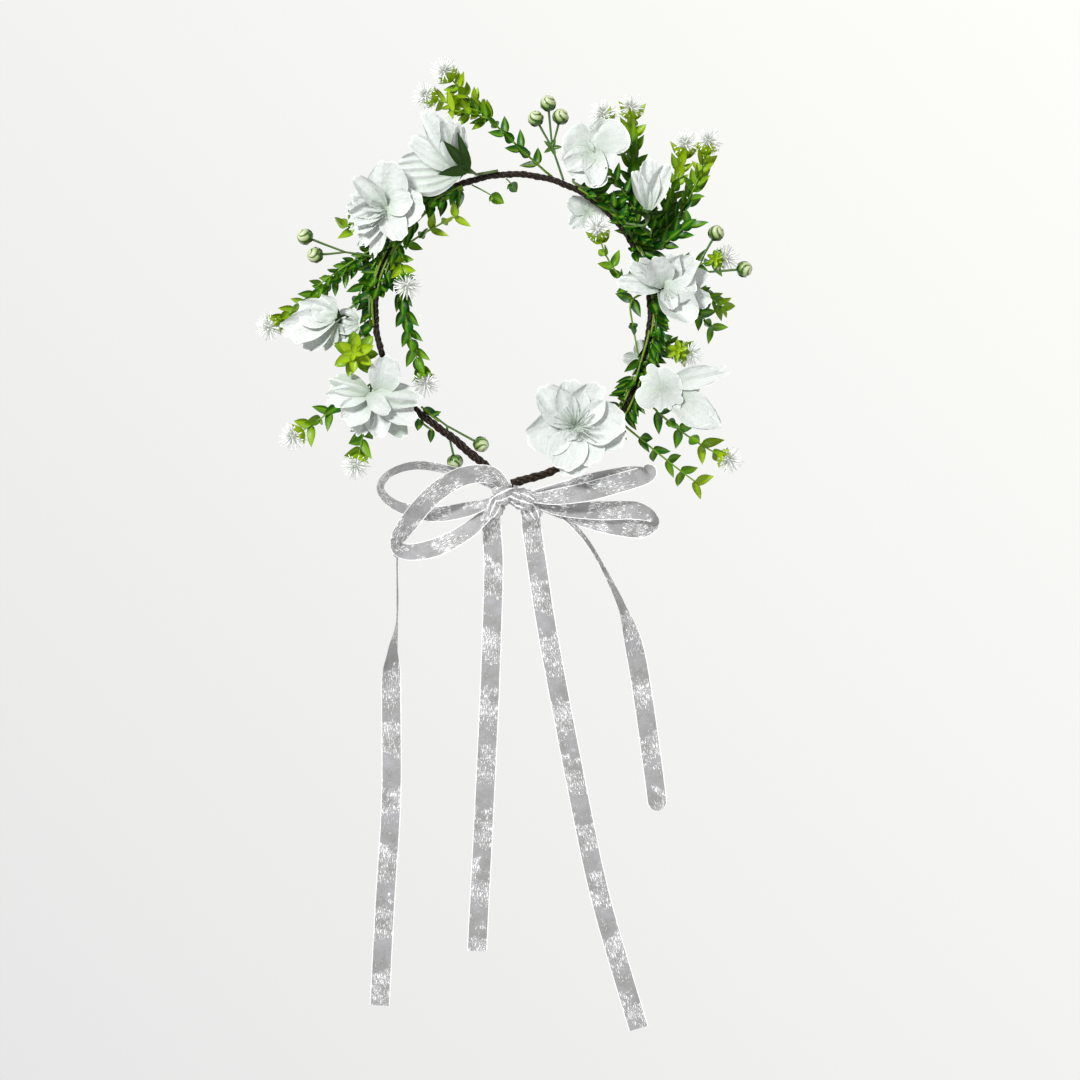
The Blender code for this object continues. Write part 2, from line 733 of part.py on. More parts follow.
def build_bow():
    bow_knot()
    bow_loop(
        "bow_loop_left_upper",
        (
            (-12, -107, 8, 55, 5),
            (-28, -99, 7, 60, 10),
            (-58, -91, 7, 62, 12),
            (-78, -102, 7, 75, 12),
            (-72, -116, 6, 55, 11),
            (-48, -121, 5.5, 40, 12),
            (-27, -117, 6, 45, 10),
            (-12, -112, 7, 45, 5),
        ),
    )
    bow_loop(
        "bow_loop_left_lower",
        (
            (-9, -104, 19, 12, 5),
            (-22, -101, 20, 20, 11),
            (-42, -104, 18, 20, 12),
            (-60, -117, 16, 20, 12),
            (-70, -134, 10, 50, 12),
            (-63, -142, 8, 60, 12),
            (-45, -138, 7, 35, 12),
            (-24, -129, 7, 30, 11),
            (-9, -117, 7, 30, 5),
        ),
    )
    bow_loop(
        "bow_loop_right_upper",
        (
            (12, -107, 10, 30, 5),
            (30, -105, 15, 35, 11),
            (56, -98, 16, 40, 12),
            (77, -95, 16, 65, 12),
            (80, -102, 16, 65, 12),
            (64, -109, 16, 30, 12),
            (42, -113, 15, 25, 11),
            (13, -111, 12, 25, 5),
        ),
    )
    bow_loop(
        "bow_loop_right_lower",
        (
            (12, -112, 7, 35, 4),
            (30, -118, 6, 40, 8),
            (60, -117, 6, 45, 10),
            (80, -118, 7, 60, 11),
            (87, -126, 7, 80, 11),
            (79, -134, 7, 60, 11),
            (60, -131, 6, 45, 11),
            (36, -125, 6, 35, 8),
            (9, -116, 6, 30, 4),
        ),
    )
    tail(
        "tail_far_left",
        (
            (-70, -149, 88, 10),
            (-70, -185, 88, 12),
            (-73, -205, 60, 12),
            (-74, -228, 5, 12),
            (-74, -293, 0, 12),
            (-78, -360, 0, 12),
            (-81, -419, 0, 12),
        ),
    )
    tail(
        "tail_left",
        (
            (-14, -118, 0, 8),
            (-12, -158, 0, 12),
            (-14, -221, 0, 12),
            (-17, -287, 0, 12),
            (-22, -386, 0, 12),
        ),
    )
    tail(
        "tail_right",
        (
            (8, -118, 0, 9),
            (14, -149, 0, 12),
            (22, -200, 0, 12),
            (41, -299, 0, 12),
            (54, -358, 0, 12),
            (76, -433, 0, 12),
        ),
    )
    tail(
        "tail_far_right",
        (
            (20, -114, 0, 8),
            (42, -134, 25, 10),
            (53, -151, 75, 10),
            (66, -178, 60, 11),
            (74, -205, 10, 12),
            (81, -248, 0, 12),
            (88, -301, 0, 12),
        ),
    )


def build():
    """Draw every piece of the crown."""
    clear_scene()
    hoop_wire()
    hoop_tape()
    build_blossoms()
    build_sprays()
    build_buds()
    build_bow()


build()
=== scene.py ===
"""The looks of the flower crown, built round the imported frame.

Every piece is drawn in millimetres in the frame's own axes (+Z up off the table, +Y from the bow to
the top of the hoop) and scaled to metres when its mesh is made. Angles are in degrees.
"""

import math
import random

import bpy
from mathutils import Matrix, Vector, noise


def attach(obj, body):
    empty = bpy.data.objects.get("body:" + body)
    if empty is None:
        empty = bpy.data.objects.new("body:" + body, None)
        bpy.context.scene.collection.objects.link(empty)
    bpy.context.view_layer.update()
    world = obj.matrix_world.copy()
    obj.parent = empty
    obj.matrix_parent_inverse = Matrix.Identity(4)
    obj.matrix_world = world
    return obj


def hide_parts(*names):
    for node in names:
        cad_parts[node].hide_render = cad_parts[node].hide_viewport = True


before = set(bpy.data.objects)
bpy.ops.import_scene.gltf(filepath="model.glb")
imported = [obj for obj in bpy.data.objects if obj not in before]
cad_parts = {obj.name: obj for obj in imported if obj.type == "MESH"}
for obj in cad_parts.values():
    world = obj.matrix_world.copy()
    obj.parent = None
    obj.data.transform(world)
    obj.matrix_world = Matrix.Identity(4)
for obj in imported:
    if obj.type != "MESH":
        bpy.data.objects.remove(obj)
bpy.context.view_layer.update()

MM = 0.001
UP = Vector((0.0, 0.0, 1.0))

# The hoop, as in the frame
HOOP_RADIUS = 82.5
HOOP_HEIGHT = 15.0
HOOP_LEFT_END = 257.0
HOOP_RIGHT_END = -86.0
TAPE_RADIUS = 2.6
STRANDS = 4
WRAP_REACH = 8.0
WRAP_STEPS = 16
TWIST = 30.0
WIRE_RADIUS = 1.0
EYELET_RADIUS = 2.0
EYELET_WIRE = 0.6
EYELET_REACH = 5.6
STEM_RADIUS = 0.75
STEM_REACH = 4.0

PUFF_RADIUS = 9.6
PUFF_SEAT = 4.3
PUFF_REST = 9.3
BUD_RADIUS = 4.6

RIBBON_WIDTH = 12.0

# The stage, in metres
VIEW_CENTRE = (0.0162, -0.1368)
CAMERA_HEIGHT = 1.310
CAMERA_LENS = 72.0
SENSOR_WIDTH = 36.0
FLOOR_SIZE = 8.0
FLOOR_DROP = 0.002
GRADIENT_RUN = 1.296
GRADIENT_START = 0.1206


# ---------------------------------------------------------------- materials


def new_material(name):
    """A material and its node tree, with the Principled shader."""
    material = bpy.data.materials.new(name)
    material.use_nodes = True
    tree = material.node_tree
    return material, tree, tree.nodes["Principled BSDF"]


def attribute(tree, name):
    node = tree.nodes.new("ShaderNodeAttribute")
    node.attribute_name = name
    return node.outputs["Fac"]


def ramp(tree, source, stops):
    """Colours along a value. stops are (position, colour)."""
    node = tree.nodes.new("ShaderNodeValToRGB")
    while len(node.color_ramp.elements) < len(stops):
        node.color_ramp.elements.new(0.5)
    for element, (position, colour) in zip(node.color_ramp.elements, stops):
        element.position = position
        element.color = (*colour, 1.0)
    tree.links.new(source, node.inputs["Fac"])
    return node.outputs["Color"]


def maths(tree, operation, first, second=None, clamp=False):
    node = tree.nodes.new("ShaderNodeMath")
    node.operation = operation
    node.use_clamp = clamp
    for socket, value in zip(node.inputs, (first, second)):
        if value is None:
            continue
        if isinstance(value, (int, float)):
            socket.default_value = value
        else:
            tree.links.new(value, socket)
    return node.outputs[0]


def mix_colour(tree, share, first, second, blend="MIX"):
    node = tree.nodes.new("ShaderNodeMix")
    node.data_type = "RGBA"
    node.blend_type = blend
    for name, value in (("Factor", share), ("A", first), ("B", second)):
        socket = [s for s in node.inputs if s.name == name and s.enabled][0]
        if isinstance(value, (int, float)):
            socket.default_value = value
        elif isinstance(value, tuple):
            socket.default_value = (*value, 1.0)
        else:
            tree.links.new(value, socket)
    return [s for s in node.outputs if s.enabled][0]


def noise_field(tree, scale, detail=2.0, vector=None, rough=0.5):
    node = tree.nodes.new("ShaderNodeTexNoise")
    node.inputs["Scale"].default_value = scale
    node.inputs["Detail"].default_value = detail
    node.inputs["Roughness"].default_value = rough
    if vector is None:
        place = tree.nodes.new("ShaderNodeTexCoord")
        vector = place.outputs["Object"]
    tree.links.new(vector, node.inputs["Vector"])
    return node.outputs["Fac"]


def combine(tree, x, y, z=0.0):
    node = tree.nodes.new("ShaderNodeCombineXYZ")
    for socket, value in zip(node.inputs, (x, y, z)):
        if isinstance(value, (int, float)):
            socket.default_value = value
        else:
            tree.links.new(value, socket)
    return node.outputs[0]


def add_bump(tree, shader, height, strength, distance):
    node = tree.nodes.new("ShaderNodeBump")
    node.inputs["Strength"].default_value = strength
    node.inputs["Distance"].default_value = distance
    tree.links.new(height, node.inputs["Height"])
    tree.links.new(node.outputs["Normal"], shader.inputs["Normal"])


def petal_fabric():
    """White pressed fabric: greener towards its base, with fine veins and a woven grain."""
    material, tree, shader = new_material("petal_fabric_look")
    # the tint carries painted shade as well as the greener base: petals set in shade and the valleys of
    # folds are darker, and petals with a negative shade are lightened as painted light
    base = ramp(
        tree,
        attribute(tree, "tint"),
        [(0.0, (0.24, 0.33, 0.20)), (0.3, (0.48, 0.55, 0.47)), (1.0, (0.71, 0.74, 0.72))],
    )
    cloud = noise_field(tree, 160.0, 3.0)
    toned = mix_colour(tree, maths(tree, "MULTIPLY", cloud, 0.3), base, (0.50, 0.58, 0.51))
    rim = maths(tree, "MULTIPLY", maths(tree, "SUBTRACT", attribute(tree, "along"), 0.5), 2.0, clamp=True)
    colour = mix_colour(tree, rim, toned, (0.92, 0.97, 0.90))
    tree.links.new(colour, shader.inputs["Base Color"])
    wrinkle = noise_field(tree, 330.0, 4.0)
    wander = maths(tree, "MULTIPLY", wrinkle, 5.0)
    veins = maths(
        tree, "SINE", maths(tree, "ADD", maths(tree, "MULTIPLY", attribute(tree, "across"), 26.0), wander)
    )
    grain = noise_field(tree, 1600.0, 2.0)
    height = maths(tree, "ADD", maths(tree, "MULTIPLY", veins, 0.09), maths(tree, "MULTIPLY", grain, 0.3))
    height = maths(tree, "ADD", height, maths(tree, "MULTIPLY", wrinkle, 1.9))
    add_bump(tree, shader, height, 0.55, 0.0007)
    shader.inputs["Roughness"].default_value = 0.6
    shader.inputs["Sheen Weight"].default_value = 0.15
    return material


def leaf_plastic():
    """Moulded leaves: dark green at the foot of a spray, lime at its tip, with a soft gloss."""
    material, tree, shader = new_material("leaf_plastic_look")
    base = ramp(
        tree,
        attribute(tree, "tint"),
        [
            (0.0, (0.000, 0.036, 0.001)),
            (0.35, (0.008, 0.130, 0.003)),
            (0.65, (0.090, 0.270, 0.002)),
            (1.0, (0.42, 0.60, 0.004)),
        ],
    )
    patch = noise_field(tree, 220.0, 2.0)
    colour = mix_colour(tree, maths(tree, "MULTIPLY", patch, 0.45), base, (0.003, 0.055, 0.001))
    shader.inputs["Specular IOR Level"].default_value = 0.3
    # painted highlight: the middle of each leaf is lightened; painted shade: its edges are darkened
    outward = maths(tree, "ABSOLUTE", attribute(tree, "across"))
    painted_highlight_middle = maths(tree, "MULTIPLY", maths(tree, "SUBTRACT", 0.5, outward), 0.9, clamp=True)
    colour = mix_colour(tree, painted_highlight_middle, colour, (0.30, 0.50, 0.02))
    painted_shade_edge = maths(tree, "MULTIPLY", maths(tree, "SUBTRACT", outward, 0.75), 2.4, clamp=True)
    colour = mix_colour(tree, painted_shade_edge, colour, (0.002, 0.035, 0.001))
    tree.links.new(colour, shader.inputs["Base Color"])
    grain = noise_field(tree, 900.0, 3.0)
    vein = maths(tree, "ABSOLUTE", attribute(tree, "across"))
    height = maths(tree, "ADD", maths(tree, "MULTIPLY", grain, 0.4), maths(tree, "MINIMUM", vein, 0.25))
    add_bump(tree, shader, height, 0.5, 0.0004)
    shine = maths(tree, "ADD", maths(tree, "MULTIPLY", grain, 0.25), 0.25)
    tree.links.new(shine, shader.inputs["Roughness"])
    return material


def stem_plastic():
    """Pale grey-green stems and calyxes."""
    material, tree, shader = new_material("calyx_plastic_look")
    base = ramp(
        tree,
        attribute(tree, "tint"),
        [(0.0, (0.006, 0.026, 0.002)), (0.5, (0.035, 0.090, 0.010)), (1.0, (0.27, 0.38, 0.16))],
    )
    patch = noise_field(tree, 300.0, 3.0)
    shader.inputs["Specular IOR Level"].default_value = 0.2
    colour = mix_colour(tree, maths(tree, "MULTIPLY", patch, 0.4), base, (0.02, 0.035, 0.008))
    tree.links.new(colour, shader.inputs["Base Color"])
    add_bump(tree, shader, noise_field(tree, 1200.0, 2.0), 0.4, 0.0003)
    shine = maths(tree, "ADD", maths(tree, "MULTIPLY", patch, 0.2), 0.35)
    tree.links.new(shine, shader.inputs["Roughness"])
    return material


def bristle_plastic():
    """Stiff white bristles that glow a little as painted light, darker towards the core, partly the
    green core and partly painted shade inside the ball.
    """
    material, tree, shader = new_material("puff_bristle_look")
    base = ramp(
        tree,
        attribute(tree, "tint"),
        [(0.0, (0.22, 0.26, 0.18)), (0.35, (0.60, 0.62, 0.58)), (1.0, (0.95, 0.96, 0.95))],
    )
    tree.links.new(base, shader.inputs["Base Color"])
    # emission makes the bristles glow: painted light
    tree.links.new(base, shader.inputs["Emission Color"])
    shader.inputs["Emission Strength"].default_value = 0.26
    grain = noise_field(tree, 2000.0, 1.0)
    shine = maths(tree, "ADD", maths(tree, "MULTIPLY", grain, 0.2), 0.35)
    tree.links.new(shine, shader.inputs["Roughness"])
    return material


def bud_plastic():
    """Glossy buds: cream petals wound in a spiral over green."""
    material, tree, shader = new_material("bud_plastic_look")
    base = ramp(
        tree,
        attribute(tree, "tint"),
        [
            (0.0, (0.004, 0.045, 0.002)),
            (0.35, (0.050, 0.150, 0.010)),
            (0.6, (0.36, 0.47, 0.16)),
            (1.0, (0.72, 0.76, 0.54)),
        ],
    )
    patch = noise_field(tree, 500.0, 2.0)
    colour = mix_colour(tree, maths(tree, "MULTIPLY", patch, 0.35), base, (0.20, 0.30, 0.08))
    tree.links.new(colour, shader.inputs["Base Color"])
    add_bump(tree, shader, patch, 0.25, 0.0004)
    shader.inputs["Roughness"].default_value = 0.3
    return material


def floral_tape():
    """Dark brown waxed crepe tape: fine wrinkles across the winding, with the tops of the turns
    painted lighter as highlight and the grooves painted darker as shade.
    """
    material, tree, shader = new_material("floral_tape_look")
    crepe = noise_field(tree, 700.0, 4.0)
    wear = noise_field(tree, 140.0, 3.0)
    ridge_with_painted_highlight = attribute(tree, "tint")
    # painted light: the tint lightens the tops of the wound turns as highlight and darkens the grooves
    # between them as shade
    level = maths(tree, "ADD", maths(tree, "MULTIPLY", crepe, 0.5), maths(tree, "MULTIPLY", ridge_with_painted_highlight, 0.5))
    base = ramp(
        tree,
        level,
        [(0.3, (0.004, 0.002, 0.001)), (0.62, (0.024, 0.012, 0.006)), (0.85, (0.17, 0.10, 0.06))],
    )
    colour = mix_colour(tree, maths(tree, "MULTIPLY", wear, 0.35), base, (0.028, 0.020, 0.010))
    tree.links.new(colour, shader.inputs["Base Color"])
    shader.inputs["Specular IOR Level"].default_value = 0.25
    add_bump(tree, shader, crepe, 0.8, 0.0006)
    shine = maths(tree, "ADD", maths(tree, "MULTIPLY", crepe, 0.3), 0.35)
    tree.links.new(shine, shader.inputs["Roughness"])
    return material


def wire_steel():
    """Plain steel wire with fine drawing marks."""
    material, tree, shader = new_material("wire_steel_look")
    marks = noise_field(tree, 900.0, 3.0)
    base = ramp(tree, marks, [(0.3, (0.20, 0.20, 0.20)), (0.7, (0.42, 0.42, 0.43))])
    tree.links.new(base, shader.inputs["Base Color"])
    shader.inputs["Metallic"].default_value = 1.0
    shine = maths(tree, "ADD", maths(tree, "MULTIPLY", marks, 0.3), 0.3)
    tree.links.new(shine, shader.inputs["Roughness"])
    return material


def ribbon_organza():
    """Sheer silver-grey ribbon: broken metallic threads in patches, plain bands between them, and a
    bright thread along each edge. along is millimetres down the ribbon, across runs -1 to 1."""
    material, tree, shader = new_material("ribbon_organza_look")
    along = attribute(tree, "along")
    across = attribute(tree, "across")
    side = maths(tree, "MULTIPLY", across, RIBBON_WIDTH / 2.0)

    def woven(across_scale, along_scale, detail, shift):
        place = combine(
            tree,
            maths(tree, "MULTIPLY", side, across_scale),
            maths(tree, "MULTIPLY", along, along_scale),
            shift,
        )
        return noise_field(tree, 1.0, detail, place, 0.62)

    threads = woven(2.3, 0.30, 3.0, 0.0)
    flecks = woven(2.0, 1.5, 3.0, 7.0)
    clouds = woven(0.10, 0.09, 2.0, 3.0)
    sway = maths(tree, "MULTIPLY", clouds, 9.0)
    band = maths(tree, "SINE", maths(tree, "ADD", maths(tree, "MULTIPLY", along, 0.17), sway))
    dense = maths(tree, "MULTIPLY", maths(tree, "ADD", band, 0.5), 2.5, clamp=True)
    limit = maths(
        tree, "SUBTRACT", 0.64, maths(tree, "MULTIPLY", dense, maths(tree, "MULTIPLY", clouds, 0.19))
    )
    lit = maths(tree, "MAXIMUM", threads, maths(tree, "SUBTRACT", flecks, 0.03))
    sparkle = maths(tree, "MULTIPLY", maths(tree, "SUBTRACT", lit, limit), 16.0, clamp=True)
    edge = maths(
        tree, "MULTIPLY", maths(tree, "SUBTRACT", maths(tree, "ABSOLUTE", across), 0.9), 16.0, clamp=True
    )
    worn = maths(tree, "MULTIPLY", edge, maths(tree, "MULTIPLY", flecks, 1.9, clamp=True))
    shade = maths(tree, "ADD", maths(tree, "MULTIPLY", clouds, 0.6), maths(tree, "MULTIPLY", flecks, 0.4))
    cloth = ramp(
        tree, shade, [(0.3, (0.20, 0.20, 0.195)), (0.5, (0.32, 0.32, 0.32)), (0.7, (0.43, 0.43, 0.47))]
    )
    shine = maths(tree, "MAXIMUM", sparkle, worn)
    colour = mix_colour(tree, shine, cloth, (1.0, 1.0, 1.0))
    # the bright threads also glow through emission: a painted glint
    glint = mix_colour(tree, shine, (0.0, 0.0, 0.0), (1.0, 1.0, 1.0))
    tree.links.new(glint, shader.inputs["Emission Color"])
    shader.inputs["Emission Strength"].default_value = 0.35
    shader.inputs["Alpha"].default_value = 0.92
    tree.links.new(colour, shader.inputs["Base Color"])
    rough = maths(tree, "SUBTRACT", 0.55, maths(tree, "MULTIPLY", shine, 0.3))
    tree.links.new(rough, shader.inputs["Roughness"])
    add_bump(tree, shader, maths(tree, "ADD", threads, shine), 0.5, 0.0004)
    return material


# ---------------------------------------------------------------- mesh building


class Shape:
    """A mesh being drawn in millimetres, with a few values kept at each point."""

    def __init__(self):
        self.points = []
        self.faces = []
        self.values = {"tint": [], "across": [], "along": []}

    def add(self, point, tint=0.0, across=0.0, along=0.0):
        self.points.append(point)
        self.values["tint"].append(tint)
        self.values["across"].append(across)
        self.values["along"].append(along)
        return len(self.points) - 1

    def skin(self, rows, around=False):
        """Faces between rows of points, joined round each row when around is set."""
        for low, high in zip(rows, rows[1:]):
            count = len(low)
            for k in range(count if around else count - 1):
                after = (k + 1) % count
                self.faces.append((low[k], low[after], high[after], high[k]))

    def move(self, matrix):
        self.points = [matrix @ point for point in self.points]
        return self

    def join(self, other):
        start = len(self.points)
        self.points += other.points
        self.faces += [tuple(k + start for k in face) for face in other.faces]
        for name, values in self.values.items():
            values += other.values[name]
        return self

    def build(self, name, material, body, slot, nodes=()):
        """The finished piece: rides on a body and stands for the CAD nodes given."""
        mesh = bpy.data.meshes.new(name)
        mesh.from_pydata([point * MM for point in self.points], [], self.faces)
        for key, values in self.values.items():
            mesh.attributes.new(key, "FLOAT", "POINT").data.foreach_set("value", values)
        mesh.materials.append(material)
        mesh.shade_smooth()
        mesh.update()
        thing = bpy.data.objects.new(name, mesh)
        bpy.context.scene.collection.objects.link(thing)
        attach(thing, body)
        if nodes:
            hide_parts(*nodes)
        return thing


def tangents(path, closed=False):
    count = len(path)
    found = []
    for k in range(count):
        before = path[k - 1] if k or closed else path[k]
        after = path[(k + 1) % count] if k < count - 1 or closed else path[k]
        found.append((after - before).normalized())
    return found


def frames(path, closed=False):
    """For each point of a path: its direction and two directions square to it, without twist."""
    along = tangents(path, closed)
    side = along[0].cross(UP)
    if side.length < 0.1:
        side = along[0].cross(Vector((0.0, 1.0, 0.0)))
    found = []
    for direction in along:
        side = (side - direction * side.dot(direction)).normalized()
        found.append((direction, side, direction.cross(side)))
    return found


def tube(path, radii, tints, sides=8, closed=False):
    shape = Shape()
    rows = []
    for point, (direction, side, other), radius, tint in zip(path, frames(path, closed), radii, tints):
        row = []
        for k in range(sides):
            turn = 2.0 * math.pi * k / sides
            spoke = side * math.cos(turn) + other * math.sin(turn)
            row.append(shape.add(point + spoke * radius, tint))
        rows.append(row)
    if closed:
        rows.append(rows[0])
    else:
        shape.faces.append(tuple(reversed(rows[0])))
        shape.faces.append(tuple(rows[-1]))
    shape.skin(rows, around=True)
    return shape


def taper(count, first, last):
    """Evenly spaced values from first to last."""
    return [first + (last - first) * k / max(1, count - 1) for k in range(count)]


def through(points, steps):
    """A smooth path through a few points, with the given steps between each pair."""
    path = []
    last = len(points) - 1
    for k in range(last):
        before = points[max(0, k - 1)]
        start = points[k]
        end = points[k + 1]
        after = points[min(last, k + 2)]
        for step in range(steps):
            t = step / steps
            pull = (end - before) * (t - 2.0 * t**2 + t**3) / 2.0
            push = (after - start) * (t**3 - t**2) / 2.0
            ahead = 3.0 * t**2 - 2.0 * t**3
            path.append(start * (1.0 - ahead) + end * ahead + pull + push)
    path.append(points[last])
    return path


def bend(start, start_way, end, end_way, steps):
    """A smooth run from one point to another, leaving and arriving in the given directions."""
    reach = (end - start).length * 0.4
    first = start + start_way * reach
    second = end - end_way * reach
    path = []
    for k in range(steps + 1):
        t = k / steps
        s = 1.0 - t
        path.append(start * s**3 + first * 3.0 * s * s * t + second * 3.0 * s * t * t + end * t**3)
    return path


def stroke(start, heading, length, turn=0.0, height=None, steps=14):
    """A path that leaves start on a heading, turns evenly, and climbs to a height."""
    height = start.z if height is None else height
    path = [start.copy()]
    for k in range(steps):
        way = math.radians(heading + turn * (k + 0.5) / steps)
        point = path[-1] + Vector((math.cos(way), math.sin(way), 0.0)) * length / steps
        share = (k + 1) / steps
        point.z = start.z + (height - start.z) * share * share * (3.0 - 2.0 * share)
        path.append(point)
    return path


def along_path(path, share):
    """The point and direction at a share of the way along a path."""
    spot = min(max(share, 0.0), 1.0) * (len(path) - 1)
    low = min(int(spot), len(path) - 2)
    return path[low].lerp(path[low + 1], spot - low), (path[low + 1] - path[low]).normalized()


# ---------------------------------------------------------------- hoop


def hoop_point(degrees):
    """A point on the hoop's centre line: a circle whose two ends run out to the bow."""
    past_right = max(0.0, -15.0 - degrees)
    past_left = max(0.0, degrees - 236.0)
    radius = HOOP_RADIUS + 0.29 * past_right**2 / (past_right + 8.0) + 0.02 * past_left**2
    turn = math.radians(degrees)
    return Vector((radius * math.cos(turn), radius * math.sin(turn), HOOP_HEIGHT))


def hoop_path(steps):
    span = HOOP_RIGHT_END - HOOP_LEFT_END
    return [hoop_point(HOOP_LEFT_END + span * k / steps) for k in range(steps + 1)]


def beside_hoop(degrees, lift, reach=STEM_REACH):
    """A point beside the tape. lift 0 is outside the hoop, 90 on top and 180 inside."""
    centre = hoop_point(degrees)
    ahead = (hoop_point(degrees + 1.0) - hoop_point(degrees - 1.0)).normalized()
    outward = ahead.cross(UP)
    turn = math.radians(lift)
    return centre + (outward * math.cos(turn) + UP * math.sin(turn)) * reach


def build_hoop(tape, steel):
    """The taped hoop: four tape-wound strands twisted together, thicker at the two bare ends."""
    steps = 900
    path = hoop_path(steps)
    start_out = (path[0] - path[4]).normalized() * WRAP_REACH / WRAP_STEPS
    end_out = (path[-1] - path[-5]).normalized() * WRAP_REACH / WRAP_STEPS
    before = [path[0] + start_out * k for k in range(WRAP_STEPS, 0, -1)]
    after = [path[-1] + end_out * k for k in range(1, WRAP_STEPS + 1)]
    path = before + path + after
    steps = len(path) - 1
    outs = [way.cross(UP) * -1.0 for way in tangents(path)]
    shape = Shape()
    for strand in range(STRANDS):
        line = []
        radii = []
        tints = []
        for k in range(0, steps + 1, 2):
            share = k / steps
            swell = 1.0 + 0.35 * max(0.0, 1.0 - min(share, 1.0 - share) / 0.12)
            turn = 2.0 * math.pi * (k / TWIST + strand / STRANDS)
            reach = (TAPE_RADIUS * 0.48 + 0.25 * math.sin(k * 0.021 + strand * 2.0)) * swell
            line.append(path[k] + (outs[k] * math.cos(turn) + UP * math.sin(turn)) * reach)
            # each turn of tape swells at its top, and that top is painted lighter as highlight and the
            # groove darker as shade
            ridge_with_painted_highlight = 0.5 + 0.5 * math.sin(k * 1.57 + strand)
            radii.append((0.72 + 0.2 * ridge_with_painted_highlight) * swell)
            tints.append(ridge_with_painted_highlight)
        shape.join(tube(line, radii, tints, 9))
    # the core takes the darkest groove colour: painted shade between the strands
    core = path[::6]
    shape.join(tube(core, [TAPE_RADIUS * 0.62] * len(core), [0.0] * len(core), 10))
    shape.build("hoop_tape_wound", tape, "crown", "floral_tape", ["hoop_tape"])

    path = hoop_path(60)
    wire = tube(path, [WIRE_RADIUS] * 61, [0.5] * 61)
    for end, inner in ((path[0], path[1]), (path[-1], path[-2])):
        out = (end - inner).normalized()
        centre = end + out * EYELET_REACH
        circle = []
        for k in range(32):
            turn = 2.0 * math.pi * k / 32
            circle.append(centre + Vector((math.cos(turn), math.sin(turn), 0.0)) * EYELET_RADIUS)
        wire.join(tube(circle, [EYELET_WIRE] * 32, [0.5] * 32, 10, closed=True))
        neck = [end, end + out * (EYELET_REACH - EYELET_RADIUS)]
        wire.join(tube(neck, [WIRE_RADIUS, EYELET_WIRE], [0.5, 0.5]))
    wire.build("hoop_wire_bent", steel, "crown", "wire_steel", ["hoop_wire"])


# ---------------------------------------------------------------- petals


def petal(
    base,
    heading,
    length,
    width,
    opening=12.0,
    curl=10.0,
    cup=0.18,
    roll=0.0,
    ruffle=0.8,
    folds=0.5,
    scallop=0.02,
    tip=0.8,
    foot=0.3,
    shade=0.0,
    pleats=7.0,
    steps=18,
):
    """One petal growing from a base point on a heading.

    opening is how steeply it leaves the base and curl how many more degrees it lifts by its tip; cup
    raises its sides, roll tips it about its own middle, ruffle waves its edge and folds creases it.
    shade lowers the tint as painted shade, a negative shade raises it as painted light, and the
    valleys of the folds lose tint as painted shade.
    """
    turn = math.radians(curl) or 0.001
    slope = math.radians(opening)
    shape = Shape()
    rows = []
    seed = random.uniform(0.0, 50.0)
    half = width / 2.0
    for i in range(steps + 1):
        u = i / steps
        widest = 0.66
        if u < widest:
            spread = foot + (1.0 - foot) * math.sin(math.pi * u / widest / 2.0)
        else:
            late = (u - widest) / (1.0 - widest)
            spread = 1.0 - (1.0 - tip) * late * late
        row = []
        for j in range(steps + 1):
            v = 2.0 * j / steps - 1.0
            reach = 1.0 - 0.25 * abs(v) ** 3.2
            reach += (
                scallop * math.sin(v * 8.0 + seed) + scallop * noise.noise(Vector((v * 6.0, seed, 0.0)))
            )
            s = u * reach
            lift = slope + turn * s
            x = length / turn * (math.sin(lift) - math.sin(slope))
            z = -length / turn * (math.cos(lift) - math.cos(slope))
            crease = folds * math.cos(v * pleats + seed) * min(1.0, 2.2 * s) * (1.0 - 0.45 * s)
            wave = ruffle * noise.noise(Vector((v * 2.4, u * 1.6, seed))) * 2.0 * u * u * (0.35 + abs(v))
            rise = cup * half * spread * v * v + crease * 0.5 + wave
            row.append(
                # painted shade: the tint is lowered by shade and in the valleys of the folds; a negative
                # shade raises it as painted light
                shape.add(
                    Vector((x - math.sin(lift) * rise, v * half * spread, z + math.cos(lift) * rise)),
                    max(0.0, min(1.0, 0.15 + u * 1.5) * (1.0 - shade) - 0.2 * max(0.0, -crease)),
                    v + seed,
                    max(abs(v) ** 9, u**12) * reach,
                )
            )
        rows.append(row)
    shape.skin(rows)
    place = Matrix.Translation(Vector(base)) @ Matrix.Rotation(math.radians(heading), 4, "Z")
    return shape.move(place @ Matrix.Rotation(math.radians(roll), 4, "X"))


